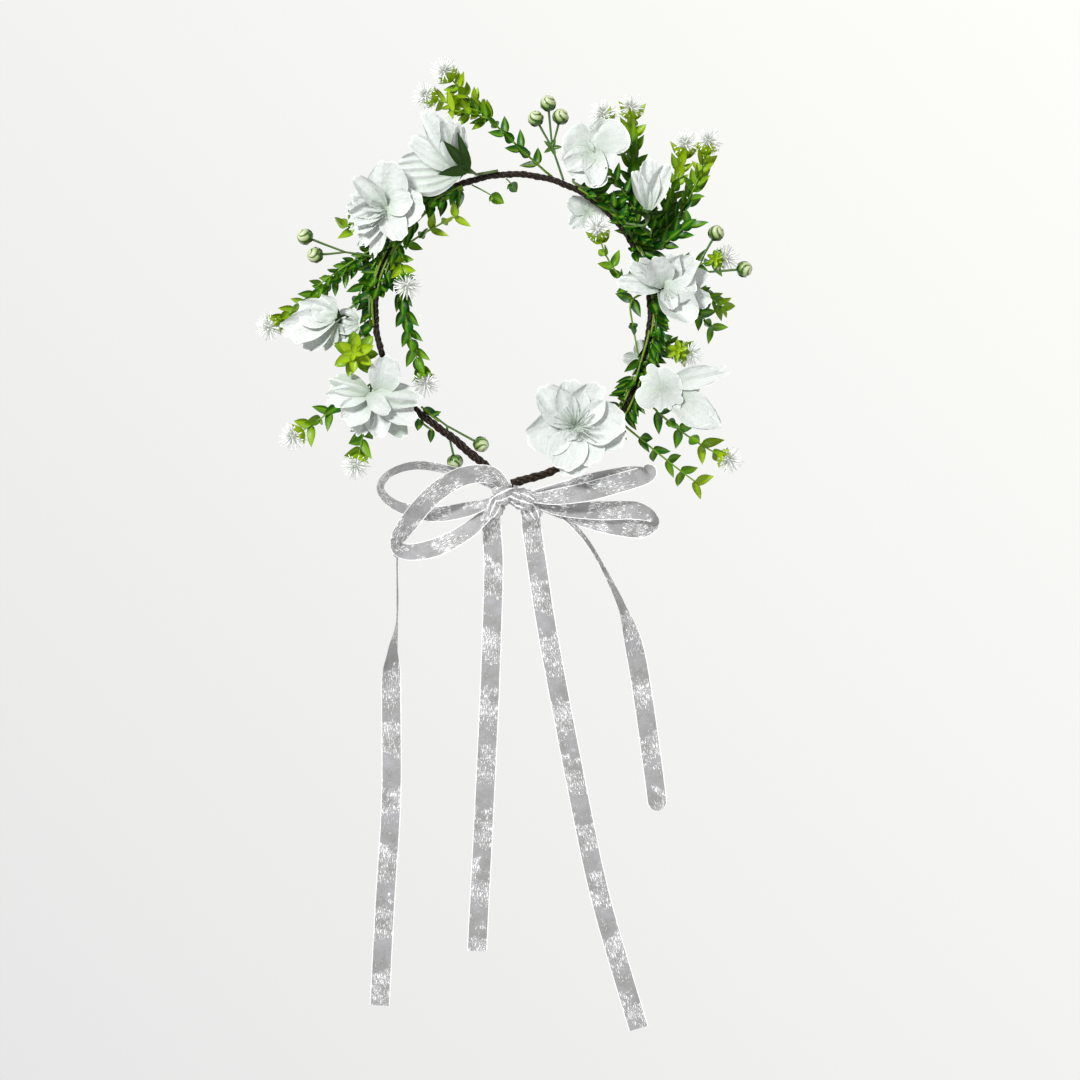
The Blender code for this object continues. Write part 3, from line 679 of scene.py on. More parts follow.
def lobed(centre, lobes, rise=2.0, crease=1.0, ruffle=0.8, floor=0.45, slant=(0.0, 0.0), power=3.2):
    """A sheet of petals joined at the middle. Each lobe is (heading, reach, half its spread)."""
    shape = Shape()
    rings = 14
    around = 120
    widest = max(reach for _, reach, _ in lobes)
    seed = random.uniform(0.0, 50.0)
    rows = []
    for i in range(rings + 1):
        u = i / rings
        row = []
        for k in range(around):
            heading = 360.0 * k / around
            reach = widest * floor
            for middle, length, half in lobes:
                off = abs((heading - middle + 180.0) % 360.0 - 180.0) / half
                if off < 1.0:
                    reach = max(reach, length * (1.0 - off**power) ** (1.0 / power))
            turn = math.radians(heading)
            way = Vector((math.cos(turn), math.sin(turn), 0.0))
            depth = 1.0 - reach / widest
            wave = ruffle * noise.noise(Vector((way.x * 3.0 * u, way.y * 3.0 * u, seed))) * 2.0
            height = rise * u**1.6 - crease * depth * 3.0 * math.sin(math.pi * u * 0.6) + wave * u
            flat = way * reach * u
            height += slant[0] * flat.x + slant[1] * flat.y
            row.append(
                shape.add(
                    Vector(centre) + flat + UP * height, 0.35 + 0.65 * u, turn * 4.0 + seed, u**14
                )
            )
        rows.append(row)
    shape.skin(rows, around=True)
    return shape


def stamens(base, count, length, lean, heading=0.0, fan=360.0, thick=0.2):
    """Fine filaments with small round tips, spread in a fan about a heading."""
    shape = Shape()
    for k in range(count):
        turn = math.radians(heading + fan * ((k + 0.5) / count - 0.5) + random.uniform(-6.0, 6.0))
        rise = math.radians(lean + random.uniform(-12.0, 12.0))
        way = Vector((math.cos(turn) * math.cos(rise), math.sin(turn) * math.cos(rise), math.sin(rise)))
        reach = length * random.uniform(0.75, 1.1)
        start = Vector(base)
        bow = UP * reach * 0.12
        path = [start, start + way * reach * 0.5 + bow, start + way * reach]
        path += [path[-1] + way * 0.5, path[-1] + way * 0.9]
        shape.join(tube(path, [thick * 1.2, thick, thick * 0.8, 0.45, 0.2], [0.25, 0.3, 0.5, 0.8, 0.8], 6))
    return shape


def gather(shapes):
    """Several shapes joined into one."""
    whole = Shape()
    for shape in shapes:
        whole.join(shape)
    return whole


def blossom(name, shapes, fabric, body="crown"):
    """The petals and stamens of one blossom, as one piece."""
    gather(shapes).build(name + "_bloom", fabric, body, "petal_fabric", [name + "_petals"])


def facing(lean, heading):
    """The rotation that turns +Z to lean towards a heading."""
    return Matrix.Rotation(math.radians(heading), 4, "Z") @ Matrix.Rotation(math.radians(lean), 4, "Y")


def calyx(
    name, centre, lean, heading, root, green, body="crown", sepals=5, blade=7.0, over=False, neck=7.0,
    reach=STEM_REACH,
):
    """The green cup under a blossom, its sepals, and the stem that runs on to the hoop."""
    place = facing(lean, heading).to_3x3()
    down = (place @ Vector((0.0, 0.0, -1.0))).normalized()
    top = Vector(centre) + down * 0.8
    waist = top + down * neck
    angle, lift, run = root
    start = beside_hoop(angle, lift, reach)
    finish = beside_hoop(angle + run, lift, reach)
    stem = bend(waist, down, start, (finish - start).normalized(), 20)
    path = [top, top + down * neck * 0.28, top + down * neck * 0.63, *stem, finish]
    radii = [3.3, 3.1, 1.9, 1.1] + [0.85 + 0.06 * math.sin(k) for k in range(len(path) - 4)]
    shape = tube(path, radii, [0.45, 0.5, 0.55] + [0.75] * (len(path) - 3), 10)
    for k in range(sepals):
        turn = 2.0 * math.pi * k / sepals
        spoke = place @ Vector((math.cos(turn), math.sin(turn), 0.0))
        way = (spoke - down * 0.35).normalized()
        shape.join(leaf(top + down * 2.6 + spoke * 1.6, way, -down, blade, blade * 0.36, 0.12))
    if over:
        for turn, length, width in ((-24, 23.0, 7.0), (-50, 23.0, 5.5), (34, 20.0, 6.5)):
            way = Matrix.Rotation(math.radians(heading + turn), 3, "Z") @ Vector((1.0, 0.0, 0.42))
            shape.join(leaf(waist - down * 2.0 + UP * 6.0, way, UP, length, width, 0.12, 0.1))
    shape.build(name + "_cup", green, body, "calyx_plastic", [name + "_calyx"])


# ---------------------------------------------------------------- leaves, puffs and buds


def leaf(base, way, up, length, width, tint, droop=0.16, blunt=1.1):
    """A pointed leaf, creased down its middle and drooping a little towards its tip."""
    way = way.normalized()
    side = way.cross(up)
    side = side.normalized() if side.length > 0.01 else way.orthogonal().normalized()
    top = side.cross(way)
    shape = Shape()
    rows = []
    steps = 7
    for i in range(steps + 1):
        u = i / steps
        half = width * 1.5 * (u + 0.02) ** 0.6 * (1.0 - u) ** blunt + 0.03
        middle = base + way * length * u - top * length * droop * u * u
        row = []
        for v in (-1.0, -0.55, 0.0, 0.55, 1.0):
            sink = 0.55 * half * (1.0 - abs(v))
            point = middle + side * v * half - top * sink
            point.z = max(point.z, 0.4)
            row.append(shape.add(point, min(1.0, tint + 0.16 * u), v, u))
        rows.append(row)
    shape.skin(rows)
    return shape


def leaf_pairs(path, pairs, first, last, size, tints, turn=0.0, lean=52.0):
    """Pairs of leaves up a stem, each pair a quarter turn from the one before."""
    shape = Shape()
    for k in range(pairs):
        share = first + (last - first) * k / max(1, pairs - 1)
        point, way = along_path(path, share)
        side = way.cross(UP)
        side = side.normalized() if side.length > 0.1 else Vector((1.0, 0.0, 0.0))
        other = side.cross(way)
        spin = math.radians(turn + 90.0 * k + random.uniform(-14.0, 14.0))
        spoke = side * math.cos(spin) + other * math.sin(spin)
        tint = tints[0] + (tints[1] - tints[0]) * k / max(1, pairs - 1)
        for sign in (1.0, -1.0):
            open_out = math.radians(lean + random.uniform(-10.0, 10.0))
            blade = way * math.cos(open_out) + spoke * sign * math.sin(open_out)
            up = (way * math.sin(open_out) - spoke * sign * math.cos(open_out)) * 0.6 + UP
            length = 10.2 * size * random.uniform(0.84, 1.14)
            width = 5.3 * size * random.uniform(0.84, 1.08)
            shade = tint + random.uniform(-0.1, 0.1)
            shape.join(leaf(point, blade, up, length, width, shade, random.uniform(-0.22, 0.2)))
    return shape


def twig(path, pairs, first, last, size, tints, turn=0.0, lean=52.0, thick=STEM_RADIUS):
    """One branch of a spray: its stem and the leaves on it."""
    count = len(path)
    radii = taper(count, thick, thick * 0.6)
    stem = tube(path, radii, taper(count, tints[0] * 0.8, tints[1] * 0.8), 7)
    return stem.join(leaf_pairs(path, pairs, first, last, size, tints, turn, lean))


def sprig(degrees, tip, length, width, tint):
    """One leaf hanging from the hoop on a thin stem of its own."""
    root = beside_hoop(degrees, 170, TAPE_RADIUS)
    line = through([root, root.lerp(tip, 0.5) + UP * 1.5, tip], 6)
    shape = tube(line, taper(len(line), 0.5, 0.35), [tint * 0.5] * len(line), 6)
    way = (line[-1] - line[-3]).normalized()
    hanging = leaf(tip - way, way, UP, length, width, tint)
    small = leaf(tip, way.cross(UP), UP, 4.0, 2.6, tint)
    return shape.join(hanging).join(small)


def garland(first, last, count, lifts, size=1.0, tints=(0.05, 0.3), slim=0.5):
    """Leaves scattered along the hoop between two angles, and the green stems they grow on."""
    shape = Shape()
    for lift in lifts:
        angles = [first + (last - first) * k / 24 for k in range(25)]
        line = []
        for angle in angles:
            sway = 9.0 * math.sin(math.radians(angle) * 9.0 + lift)
            line.append(beside_hoop(angle, lift + sway, TAPE_RADIUS + 0.9))
        shape.join(tube(line, [0.7] * 25, [tints[0] * 0.5] * 25, 7))
    for k in range(count):
        angle = first + (last - first) * (k + random.random()) / count
        lift = random.choice(lifts) + random.uniform(-35.0, 35.0)
        base = beside_hoop(angle, lift, TAPE_RADIUS + 0.6)
        out = (base - hoop_point(angle)).normalized()
        ahead = (hoop_point(angle + 1.0) - hoop_point(angle)).normalized()
        if last < first:
            ahead = -ahead
        way = (
            out * random.uniform(0.5, 1.2)
            + ahead * random.uniform(0.2, 1.3)
            + UP * random.uniform(-0.1, 0.4)
        )
        length = 10.0 * size * random.uniform(0.75, 1.15)
        tint = random.uniform(*tints)
        shape.join(leaf(base, way, UP + out * 0.3, length, length * slim, tint, random.uniform(-0.2, 0.2)))
    return shape


def rosette(centre, size=1.0):
    """Lime leaves in three whorls, seen from above, with the shoot's tip between them."""
    shape = Shape()
    # the lowest whorl is tinted darker as painted shade under the whorls above it
    whorls = ((7, 14.5, -4.0, 0.0, 0.72), (6, 11.5, 16.0, 3.4, 0.95), (4, 6.5, 40.0, 7.0, 1.0))
    for count, length, rise, lift, tint in whorls:
        for k in range(count):
            turn = math.radians(25.0 * lift + 360.0 * k / count + random.uniform(-7.0, 7.0))
            slope = math.radians(rise + random.uniform(-5.0, 5.0))
            way = Vector(
                (math.cos(turn) * math.cos(slope), math.sin(turn) * math.cos(slope), math.sin(slope))
            )
            reach = length * size * random.uniform(0.9, 1.1)
            shade = tint + random.uniform(-0.12, 0.0)
            shape.join(leaf(centre + UP * lift * size, way, UP, reach, reach * 0.42, shade, 0.1, 0.75))
    return shape


def ruff(path, count=7, size=1.05, tint=0.88, back=3.0):
    """The whorl of lime leaves that cups a puff at the end of a stem."""
    tip = path[-1]
    way = (path[-1] - path[-2]).normalized()
    side = way.orthogonal().normalized()
    other = way.cross(side)
    shape = Shape()
    for k in range(count):
        turn = 2.0 * math.pi * k / count + random.uniform(-0.3, 0.3)
        spoke = side * math.cos(turn) + other * math.sin(turn)
        blade = way * 0.75 + spoke
        shape.join(
            leaf(tip - way * back, blade, way, 8.5 * size, 4.6 * size, tint + random.uniform(-0.1, 0.1))
        )
    return shape


def spray(name, shapes, plastic, body="crown"):
    """The stems and leaves of one spray, as one piece."""
    gather(shapes).build(name + "_leaves", plastic, body, "leaf_plastic", [name])


def puff(name, stem, plastic, body="crown", bristles=66):
    """A ball of fine stiff bristles round a small bright core at the tip of a stem."""
    way = (stem[-1] - stem[-2]).normalized()
    centre = stem[-1] + way * PUFF_SEAT
    shape = Shape()
    core_rows = []
    for i in range(9):
        polar = math.pi * i / 8
        row = []
        for j in range(14):
            turn = 2.0 * math.pi * j / 14
            spoke = Vector(
                (math.sin(polar) * math.cos(turn), math.sin(polar) * math.sin(turn), math.cos(polar))
            )
            row.append(shape.add(centre + spoke * (2.3 + 0.3 * random.random()), 0.3))
        core_rows.append(row)
    shape.skin(core_rows, around=True)
    golden = math.pi * (3.0 - math.sqrt(5.0))
    for k in range(bristles):
        height = 1.0 - 2.0 * (k + 0.5) / bristles
        across = math.sqrt(1.0 - height * height)
        turn = golden * k
        spoke = Vector((across * math.cos(turn), across * math.sin(turn), height))
        spoke = (spoke + Vector([random.uniform(-0.10, 0.10) for _ in range(3)])).normalized()
        if spoke.dot(way) < -0.86:
            continue
        reach = PUFF_RADIUS * random.uniform(0.80, 1.0)
        path = [centre + spoke * 1.6, centre + spoke * reach * 0.6, centre + spoke * reach]
        # some bristles are darker at random: painted shade between them
        pale = random.choice((0.55, 0.95, 1.0))
        shape.join(tube(path, [0.5, 0.46, 0.2], [0.1, 0.75 * pale, pale], 4))
    shape.build(name + "_bristles", plastic, body, "puff_bristle", [name])


def bud(tip, way, radius=BUD_RADIUS):
    """A round bud: petals wound in a spiral on top, green sepals and a short neck below."""
    shape = Shape()
    rings = 18
    around = 28
    rows = []
    turn_to = UP.rotation_difference(way)
    for i in range(rings + 1):
        polar = math.pi * i / rings
        row = []
        for j in range(around):
            turn = 2.0 * math.pi * j / around
            wind = math.cos(4.0 * turn - 5.5 * polar)
            groove = 0.09 * max(0.0, wind) ** 3 * min(1.0, math.sin(polar) * 1.6)
            spoke = Vector(
                (math.sin(polar) * math.cos(turn), math.sin(polar) * math.sin(turn), math.cos(polar))
            )
            top = 0.5 + 0.5 * math.cos(polar)
            tint = min(1.0, max(0.12, top * 1.25 - 0.12 - 0.85 * max(0.0, wind) ** 2))
            row.append(shape.add(tip + turn_to @ (spoke * radius * (1.0 - groove)), tint))
        rows.append(row)
    shape.skin(rows, around=True)
    for k in range(5):
        turn = 2.0 * math.pi * k / 5
        side = turn_to @ Vector((math.cos(turn), math.sin(turn), 0.0))
        foot = tip - way * radius * 0.96
        rows = []
        for i in range(6):
            u = i / 5
            polar = math.pi * (1.0 - 0.6 * u)
            half = radius * 0.42 * math.sin(math.pi * (0.15 + 0.85 * u)) + 0.02
            middle = tip + (way * math.cos(polar) + side * math.sin(polar)) * radius * 1.07
            level = way.cross(side)
            rows.append([shape.add(middle + level * half * v, 0.04 + 0.1 * u, v) for v in (-1.0, 0.0, 1.0)])
        shape.skin(rows)
        shape.join(tube([foot - way * 1.2, foot + way * 0.6], [0.8, 1.6], [0.1, 0.1], 8))
    return shape


def buds(name, root, fork, tips, green, body="crown", leaflets=0):
    """Round buds on thin stems that meet at a fork and run back to the hoop."""
    main = through([root, root.lerp(fork, 0.5) + Vector((0.0, 0.0, 0.6)), fork], 8)
    shape = tube(main, taper(len(main), STEM_RADIUS, 0.6), [0.22] * len(main), 8)
    for tip in tips:
        way = (tip - fork).normalized()
        middle = fork.lerp(tip, 0.5) - UP * 1.2
        stem = through([fork, middle, tip - way * BUD_RADIUS], 6)
        shape.join(tube(stem, taper(len(stem), 0.6, 0.75), [0.22] * len(stem), 8))
        up = (way * 0.8 + UP * 0.6).normalized()
        shape.join(bud(tip, up))
    for k in range(leaflets):
        turn = 2.0 * math.pi * k / leaflets
        way = Vector((math.cos(turn), math.sin(turn), 0.5))
        shape.join(leaf(fork, way, UP, 6.5, 2.6, 0.16))
    shape.build(name + "_round", green, body, "bud_plastic", [name])


# ---------------------------------------------------------------- ribbons


def spread_values(values, steps):
    """Straight-line values between a few, to go with a path made by through()."""
    found = []
    for low, high in zip(values, values[1:]):
        found += [low + (high - low) * step / steps for step in range(steps)]
    return found + [values[-1]]


def ribbon(course, steps, wave=0.22, rounded=False, offset=0.0):
    """A sheer ribbon along a course of (x, y, z, tilt, width); tilt 0 lies flat, 90 stands on edge."""
    path = through([Vector(spot[:3]) for spot in course], steps)
    tilts = spread_values([spot[3] for spot in course], steps)
    widths = spread_values([spot[4] for spot in course], steps)
    shape = Shape()
    rows = []
    travelled = 0.0
    columns = 12
    total = sum((b - a).length for a, b in zip(path, path[1:]))
    for k, (point, way) in enumerate(zip(path, tangents(path))):
        if k:
            travelled += (point - path[k - 1]).length
        level = way.cross(UP).normalized()
        rise = level.cross(way)
        turn = math.radians(tilts[k])
        across = level * math.cos(turn) + rise * math.sin(turn)
        face = across.cross(way).normalized()
        half = widths[k] / 2.0
        left = total - travelled
        if rounded and left < 6.0:
            half *= math.sqrt(max(0.02, 1.0 - ((6.0 - left) / 6.0) ** 2))
        pleat = max(0.0, 1.0 - widths[k] / RIBBON_WIDTH)
        row = []
        for j in range(columns + 1):
            v = 2.0 * j / columns - 1.0
            ripple = wave * noise.noise(Vector((travelled * 0.07, v * 0.6, offset)))
            gatherings = pleat * 1.5 * math.cos(v * 9.0)
            row.append(
                shape.add(
                    point + across * v * half + face * (ripple + gatherings), 0.5, v, travelled + offset
                )
            )
        rows.append(row)
    shape.skin(rows)
    return shape, total


def ribbon_piece(name, course, cloth, body, held, rests_on, steps=14, **form):
    """One stretch of the ribbon."""
    shape, total = ribbon(course, steps, **form)
    piece = shape.build(name + "_ribbon", cloth, body, "ribbon_organza", [name])


def lying(course):
    """A course on the table: each (x, y, tilt, width) is raised until its lower edge touches."""
    return [
        (x, y, width / 2.0 * math.sin(math.radians(abs(tilt))) + 0.35, tilt, width)
        for x, y, tilt, width in course
    ]


def knot(cloth):
    """The knot: two gathered wraps of ribbon side by side, and a turn through each eyelet."""
    shape = Shape()
    for centre, heading, length, wide, tall in (
        (Vector((-5.5, -109.0, 14.5)), 205.0, 12.0, 6.6, 5.6),
        (Vector((6.0, -112.5, 13.0)), -20.0, 13.0, 6.4, 5.4),
        (Vector((1.0, -111.0, 14.0)), -22.0, 9.0, 4.8, 5.4),
        (Vector((11.0, -119.0, 9.0)), -62.0, 12.0, 6.0, 3.4),
        (Vector((-11.0, -117.0, 8.0)), 245.0, 12.0, 5.6, 3.4),
    ):
        way = Vector((math.cos(math.radians(heading)), math.sin(math.radians(heading)), 0.0))
        side = way.cross(UP)
        rows = []
        for i in range(26):
            t = i / 25.0
            squeeze = 0.55 + 0.45 * math.sin(math.pi * t) ** 0.5
            row = []
            for j in range(56):
                turn = 2.0 * math.pi * j / 56
                pleat = 1.0 + 0.07 * math.cos(turn * 9.0 + 5.0 * t) + 0.05 * math.sin(t * 22.0 + 2.0 * turn)
                spoke = side * math.cos(turn) * wide + UP * math.sin(turn) * tall
                point = centre + way * (t - 0.5) * length + spoke * squeeze * pleat
                row.append(shape.add(point, 0.5, math.cos(turn * 4.5), t * 20.0 + turn))
            rows.append(row)
        shape.skin(rows, around=True)
    path = hoop_path(50)
    for end, inner, anchor in (
        (path[0], path[1], Vector((-5.0, -109.5, 13.6))),
        (path[-1], path[-2], Vector((2.0, -109.5, 13.6))),
    ):
        hole = end + (end - inner).normalized() * EYELET_REACH
        away = hole - anchor
        reach = away.length / 2.0
        away.normalize()
        level = away.cross(UP).normalized()
        rise = level.cross(away)
        rows = []
        for i in range(41):
            turn = 2.0 * math.pi * i / 40
            middle = (hole + anchor) / 2.0 + away * reach * math.cos(turn) + rise * 2.4 * math.sin(turn)
            row = []
            for j in range(7):
                v = j / 3.0 - 1.0
                lump = rise * 0.25 * math.cos(v * 6.0 + turn)
                row.append(shape.add(middle + level * v * 1.4 + lump, 0.5, v, 30.0 + turn * reach))
            rows.append(row)
        shape.skin(rows)
    shape.build("bow_knot_gathers", cloth, "crown", "ribbon_organza", ["bow_knot"])


# ---------------------------------------------------------------- the crown's pieces


def build_blossoms(fabric, green):
    """Each blossom's petals, laid from its own heart."""
    heart = (-76.0, 60.5, 27.0)
    blossom(
        "blossom_upper_left",
        [
            petal(heart, 82, 28, 25, opening=12, curl=12, cup=0.2, folds=1.4, foot=0.4),
            petal(heart, 136, 26, 12, opening=30, curl=-16, cup=0.9, folds=1.2),
            petal(heart, 160, 21, 13, opening=22, curl=-12, cup=0.4, scallop=0.06, tip=0.9),
            petal(
                heart, 183, 22, 14, opening=22, curl=-16, cup=0.4, folds=1.5, ruffle=1.5, scallop=0.06,
                tip=0.9,
            ),
            petal(
                heart, 203, 23, 13, opening=28, curl=-22, cup=0.5, folds=1.5, ruffle=1.5, scallop=0.06,
                tip=0.9,
            ),
            petal(heart, 219, 24, 12, opening=16, curl=-14, cup=0.4, ruffle=1.2, scallop=0.06, tip=0.9),
            petal(heart, 238, 26, 11, opening=6, curl=-6, cup=0.3, tip=0.9, foot=0.2, scallop=0.05),
            petal(heart, 257, 29, 10, opening=0, curl=-4, cup=0.3, tip=0.9, foot=0.2, scallop=0.05),
            petal(heart, 298, 22, 17, opening=12, curl=-10, cup=0.2),
            petal((-75.0, 60.5, 25.0), 2, 23, 25, opening=8, curl=6, cup=0.25, folds=0.3),
            petal((-75.0, 61.5, 28.0), 14, 16, 17, opening=24, curl=-26, cup=0.2, folds=0.3, foot=0.5),
            petal((-77.0, 59.5, 28.0), 215, 12, 6, opening=45, curl=-40, cup=0.8, folds=1.2),
            petal((-77.5, 58.5, 28.0), 232, 13, 5, opening=40, curl=-36, cup=0.8, folds=1.2),
            petal((-77.0, 60.5, 28.0), 190, 11, 6, opening=50, curl=-30, cup=0.8, folds=1.2),
            stamens((-76.0, 60.0, 28.0), 7, 8, 35, 225, 120),
        ],
        fabric,
    )
    heart = (-31.5, 84.5, 24.0)
    blossom(
        "blossom_top_left",
        [
            petal(heart, 122, 40, 15, opening=8, curl=-4, cup=0.35, folds=0.9, foot=0.35, ruffle=1.4),
            petal(heart, 104, 31, 17, opening=16, curl=6, cup=0.4, folds=1.6, ruffle=3.4, scallop=0.08),
            petal(heart, 90, 28, 10, opening=24, curl=10, cup=0.5, folds=1.4, ruffle=2.6, scallop=0.06),
            petal(
                (-31.5, 84.0, 22.0), 184, 38, 30, opening=4, curl=6, cup=0.1, folds=2.6, pleats=19,
                ruffle=1.4, steps=48,
            ),
            petal(
                (-31.5, 83.0, 21.0), 198, 33, 15, opening=-8, curl=6, cup=0.4, folds=2.0, pleats=11,
                shade=0.15,
            ),
            petal((-31.5, 84.5, 23.0), 150, 34, 17, opening=4, curl=4, cup=0.3, folds=2.0, pleats=13),
        ],
        fabric,
    )
    heart = (47.5, 93.5, 26.0)
    blossom(
        "blossom_top_right",
        [
            petal((47.5, 93.5, 24.0), 62, 22, 20, opening=2, curl=4, cup=0.2, shade=0.3),
            lobed(
                heart,
                ((36, 24, 43), (142, 19.5, 52), (212, 20, 42), (277, 21.5, 30)),
                rise=3.0,
                crease=1.3,
                ruffle=1.0,
                floor=0.55,
            ),
            petal(
                (47.5, 93.0, 26.6), 205, 19, 15, opening=6, curl=-6, cup=0.2, folds=1.4, ruffle=2.2,
                foot=0.6,
            ),
            petal((47.5, 95.0, 26.6), 277, 22, 15, opening=4, curl=6, cup=0.2, folds=0.4, foot=0.6),
            petal((48.5, 93.5, 27.0), 122, 8, 2.6, opening=12, curl=-24, cup=0.6, shade=0.35),
        ],
        fabric,
    )
    heart = (80.5, 59.0, 31.0)
    blossom(
        "blossom_right_top",
        [
            petal(heart, 90, 30, 13, opening=8, curl=4, cup=0.5, folds=1.6),
            petal(heart, 66, 29, 12, opening=12, curl=6, cup=0.5, folds=1.8, ruffle=1.6),
            petal(heart, 112, 24, 10, opening=8, curl=4, cup=0.5, folds=1.6),
        ],
        fabric,
    )
    heart = (90.0, 13.5, 28.0)
    blossom(
        "blossom_right",
        [
            petal(heart, 112, 21, 17, opening=38, curl=-8, cup=0.3, folds=0.9, scallop=0.05),
            petal((90.0, 14.0, 25.0), 74, 21, 16, opening=22, curl=4, cup=0.4, folds=1.0, scallop=0.05),
            petal((91.0, 14.0, 25.0), 44, 25, 18, opening=16, curl=6, cup=0.4, folds=1.2, scallop=0.05),
            petal((90.0, 14.0, 31.0), 356, 19, 19, opening=6, curl=-12, cup=-0.2, folds=0.3),
            petal((91.0, 14.5, 23.0), 12, 27, 15, opening=4, curl=4, cup=0.4),
            petal((91.0, 12.5, 22.0), 346, 28, 15, opening=2, curl=6, cup=0.4, roll=15.0),
            petal((90.0, 14.5, 25.0), 150, 25, 11, opening=16, curl=-8, cup=0.6, folds=0.8),
            petal((90.0, 14.5, 25.0), 134, 22, 10, opening=20, curl=-8, cup=0.6, folds=0.8),
            petal((90.0, 14.0, 24.0), 175, 28, 13, opening=16, curl=-26, cup=0.5, folds=1.6, ruffle=1.6),
            petal((88.0, 12.5, 24.5), 318, 28, 21, opening=4, curl=10, cup=0.7, folds=1.8, ruffle=1.6),
            petal((90.0, 12.5, 26.5), 296, 14, 11, opening=20, curl=-10, cup=0.7, folds=1.4),
            stamens(heart, 6, 8, 25, 300, 90),
        ],
        fabric,
    )
    heart = (88.5, -46.5, 29.0)
    lobes = (
        (212, 17, 46), (154, 14.5, 14), (119, 16, 21), (82, 13, 18), (266, 14.5, 13), (292, 14, 12),
        (325, 15, 20),
    )
    blossom(
        "blossom_right_low",
        [
            lobed(
                heart, lobes, rise=-1.5, crease=0.25, ruffle=0.4, floor=0.72, slant=(0.05, 0.06), power=2.4
            ),
            petal(
                (91.0, -44.5, 26.0), 13, 36, 14, opening=10, curl=-10, cup=0.3, folds=0.7, scallop=0.09,
                foot=0.2,
            ),
            petal(
                (93.0, -50.0, 25.0), 327, 37, 21, opening=6, curl=-6, cup=0.25, folds=0.6, scallop=0.05,
                tip=0.2,
            ),
            petal((92.0, -50.5, 26.0), 300, 12, 9, opening=4, curl=-6, cup=0.2, folds=0.8),
            petal((92.0, -46.0, 22.0), 350, 20, 12, opening=-4, curl=-6, cup=0.3, shade=0.6),
        ],
        fabric,
    )
    heart = (-106.0, -5.0, 29.0)
    blossom(
        "blossom_left",
        [
            petal(heart, 136, 15, 18, opening=14, curl=-18, cup=0.2, folds=1.4, scallop=0.06),
            petal(heart, 168, 22, 18, opening=10, curl=-18, cup=0.25, folds=1.0, scallop=0.05, tip=0.9),
            petal(heart, 196, 31, 19, opening=4, curl=-14, cup=0.2, folds=0.9, scallop=0.06, tip=0.92),
            petal((-104.0, -3.0, 30.0), 178, 17, 14, opening=12, curl=-40, cup=-0.2, folds=1.2, ruffle=1.2),
            petal(
                (-107.0, -8.0, 26.0), 214, 24, 16, opening=-10, curl=-20, cup=0.4, shade=0.15, scallop=0.05
            ),
            petal(
                (-106.0, -8.0, 25.0), 240, 17, 14, opening=-14, curl=-10, cup=0.4, shade=0.2, scallop=0.05
            ),
            petal((-104.0, -8.0, 25.0), 268, 15, 9, opening=-16, curl=-10, cup=0.5, shade=0.4),
            petal((-92.0, -6.0, 22.0), 160, 13, 10, opening=14, curl=-12, cup=0.3, folds=1.6),
            petal((-92.0, -8.0, 22.0), 190, 15, 11, opening=14, curl=-12, cup=0.3, folds=1.6),
            petal((-92.0, -9.0, 22.0), 220, 15, 10, opening=10, curl=-12, cup=0.3, folds=1.2),
            petal((-92.0, -10.0, 20.0), 252, 17, 9, opening=0, curl=-12, cup=0.3, shade=0.2),
        ],
        fabric,
    )
    heart = (-85.0, -49.5, 29.0)
    blossom(
        "blossom_left_low",
        [
            petal(
                (-77.5, -48.5, 28.5), 78, 22, 20, opening=20, curl=4, cup=0.25, folds=0.7, scallop=0.04,
                foot=0.5,
            ),
            petal(
                (-85.0, -50.0, 28.0), 163, 25, 17, opening=18, curl=-34, cup=-0.6, folds=2.2, ruffle=1.8,
                shade=0.3, scallop=0.05,
            ),
            petal(
                (-85.0, -50.0, 27.0), 186, 25, 14, opening=10, curl=-20, cup=0.4, folds=0.9, scallop=0.06,
                tip=0.92,
            ),
            petal(
                (-84.0, -50.0, 29.0), 354, 29, 17, opening=14, curl=-24, cup=-0.5, folds=1.6, ruffle=1.6,
                shade=0.25, scallop=0.06,
            ),
            petal(
                (-86.0, -54.0, 25.0), 222, 19, 18, opening=6, curl=8, cup=0.4, folds=0.5, scallop=0.05,
                tip=0.92,
            ),
            petal((-86.0, -55.0, 22.0), 250, 20, 14, opening=-4, curl=10, cup=0.4, scallop=0.05, tip=0.92),
            petal((-86.0, -50.5, 31.0), 318, 17, 11, opening=6, curl=-14, cup=0.2, folds=0.3),
            petal((-82.0, -54.0, 22.0), 278, 22, 17, opening=-8, curl=22, cup=0.6),
            petal((-80.0, -53.0, 25.0), 330, 25, 16, opening=0, curl=2, cup=0.3, scallop=0.05, tip=0.92),
            petal((-81.0, -54.0, 20.0), 308, 27, 14, opening=-8, curl=4, cup=0.5, shade=0.55),
            stamens((-85.0, -56.0, 24.0), 7, 7, -10, 262, 90),
        ],
        fabric,
    )
    blossom(
        "blossom_under_top",
        [
            petal((45.0, 62.0, 1.0), heading, 14, 12, opening=4, curl=12, cup=0.2)
            for heading in (5, 77, 149, 221, 293)
        ],
        fabric,
    )
    blossom(
        "blossom_under_right",
        [
            petal((79.0, -28.0, 1.0), heading, 13, 10, opening=4, curl=12, cup=0.2)
            for heading in (30, 102, 174, 246, 318)
        ],
        fabric,
    )
    heart = (37.0, -69.5, 30.0)
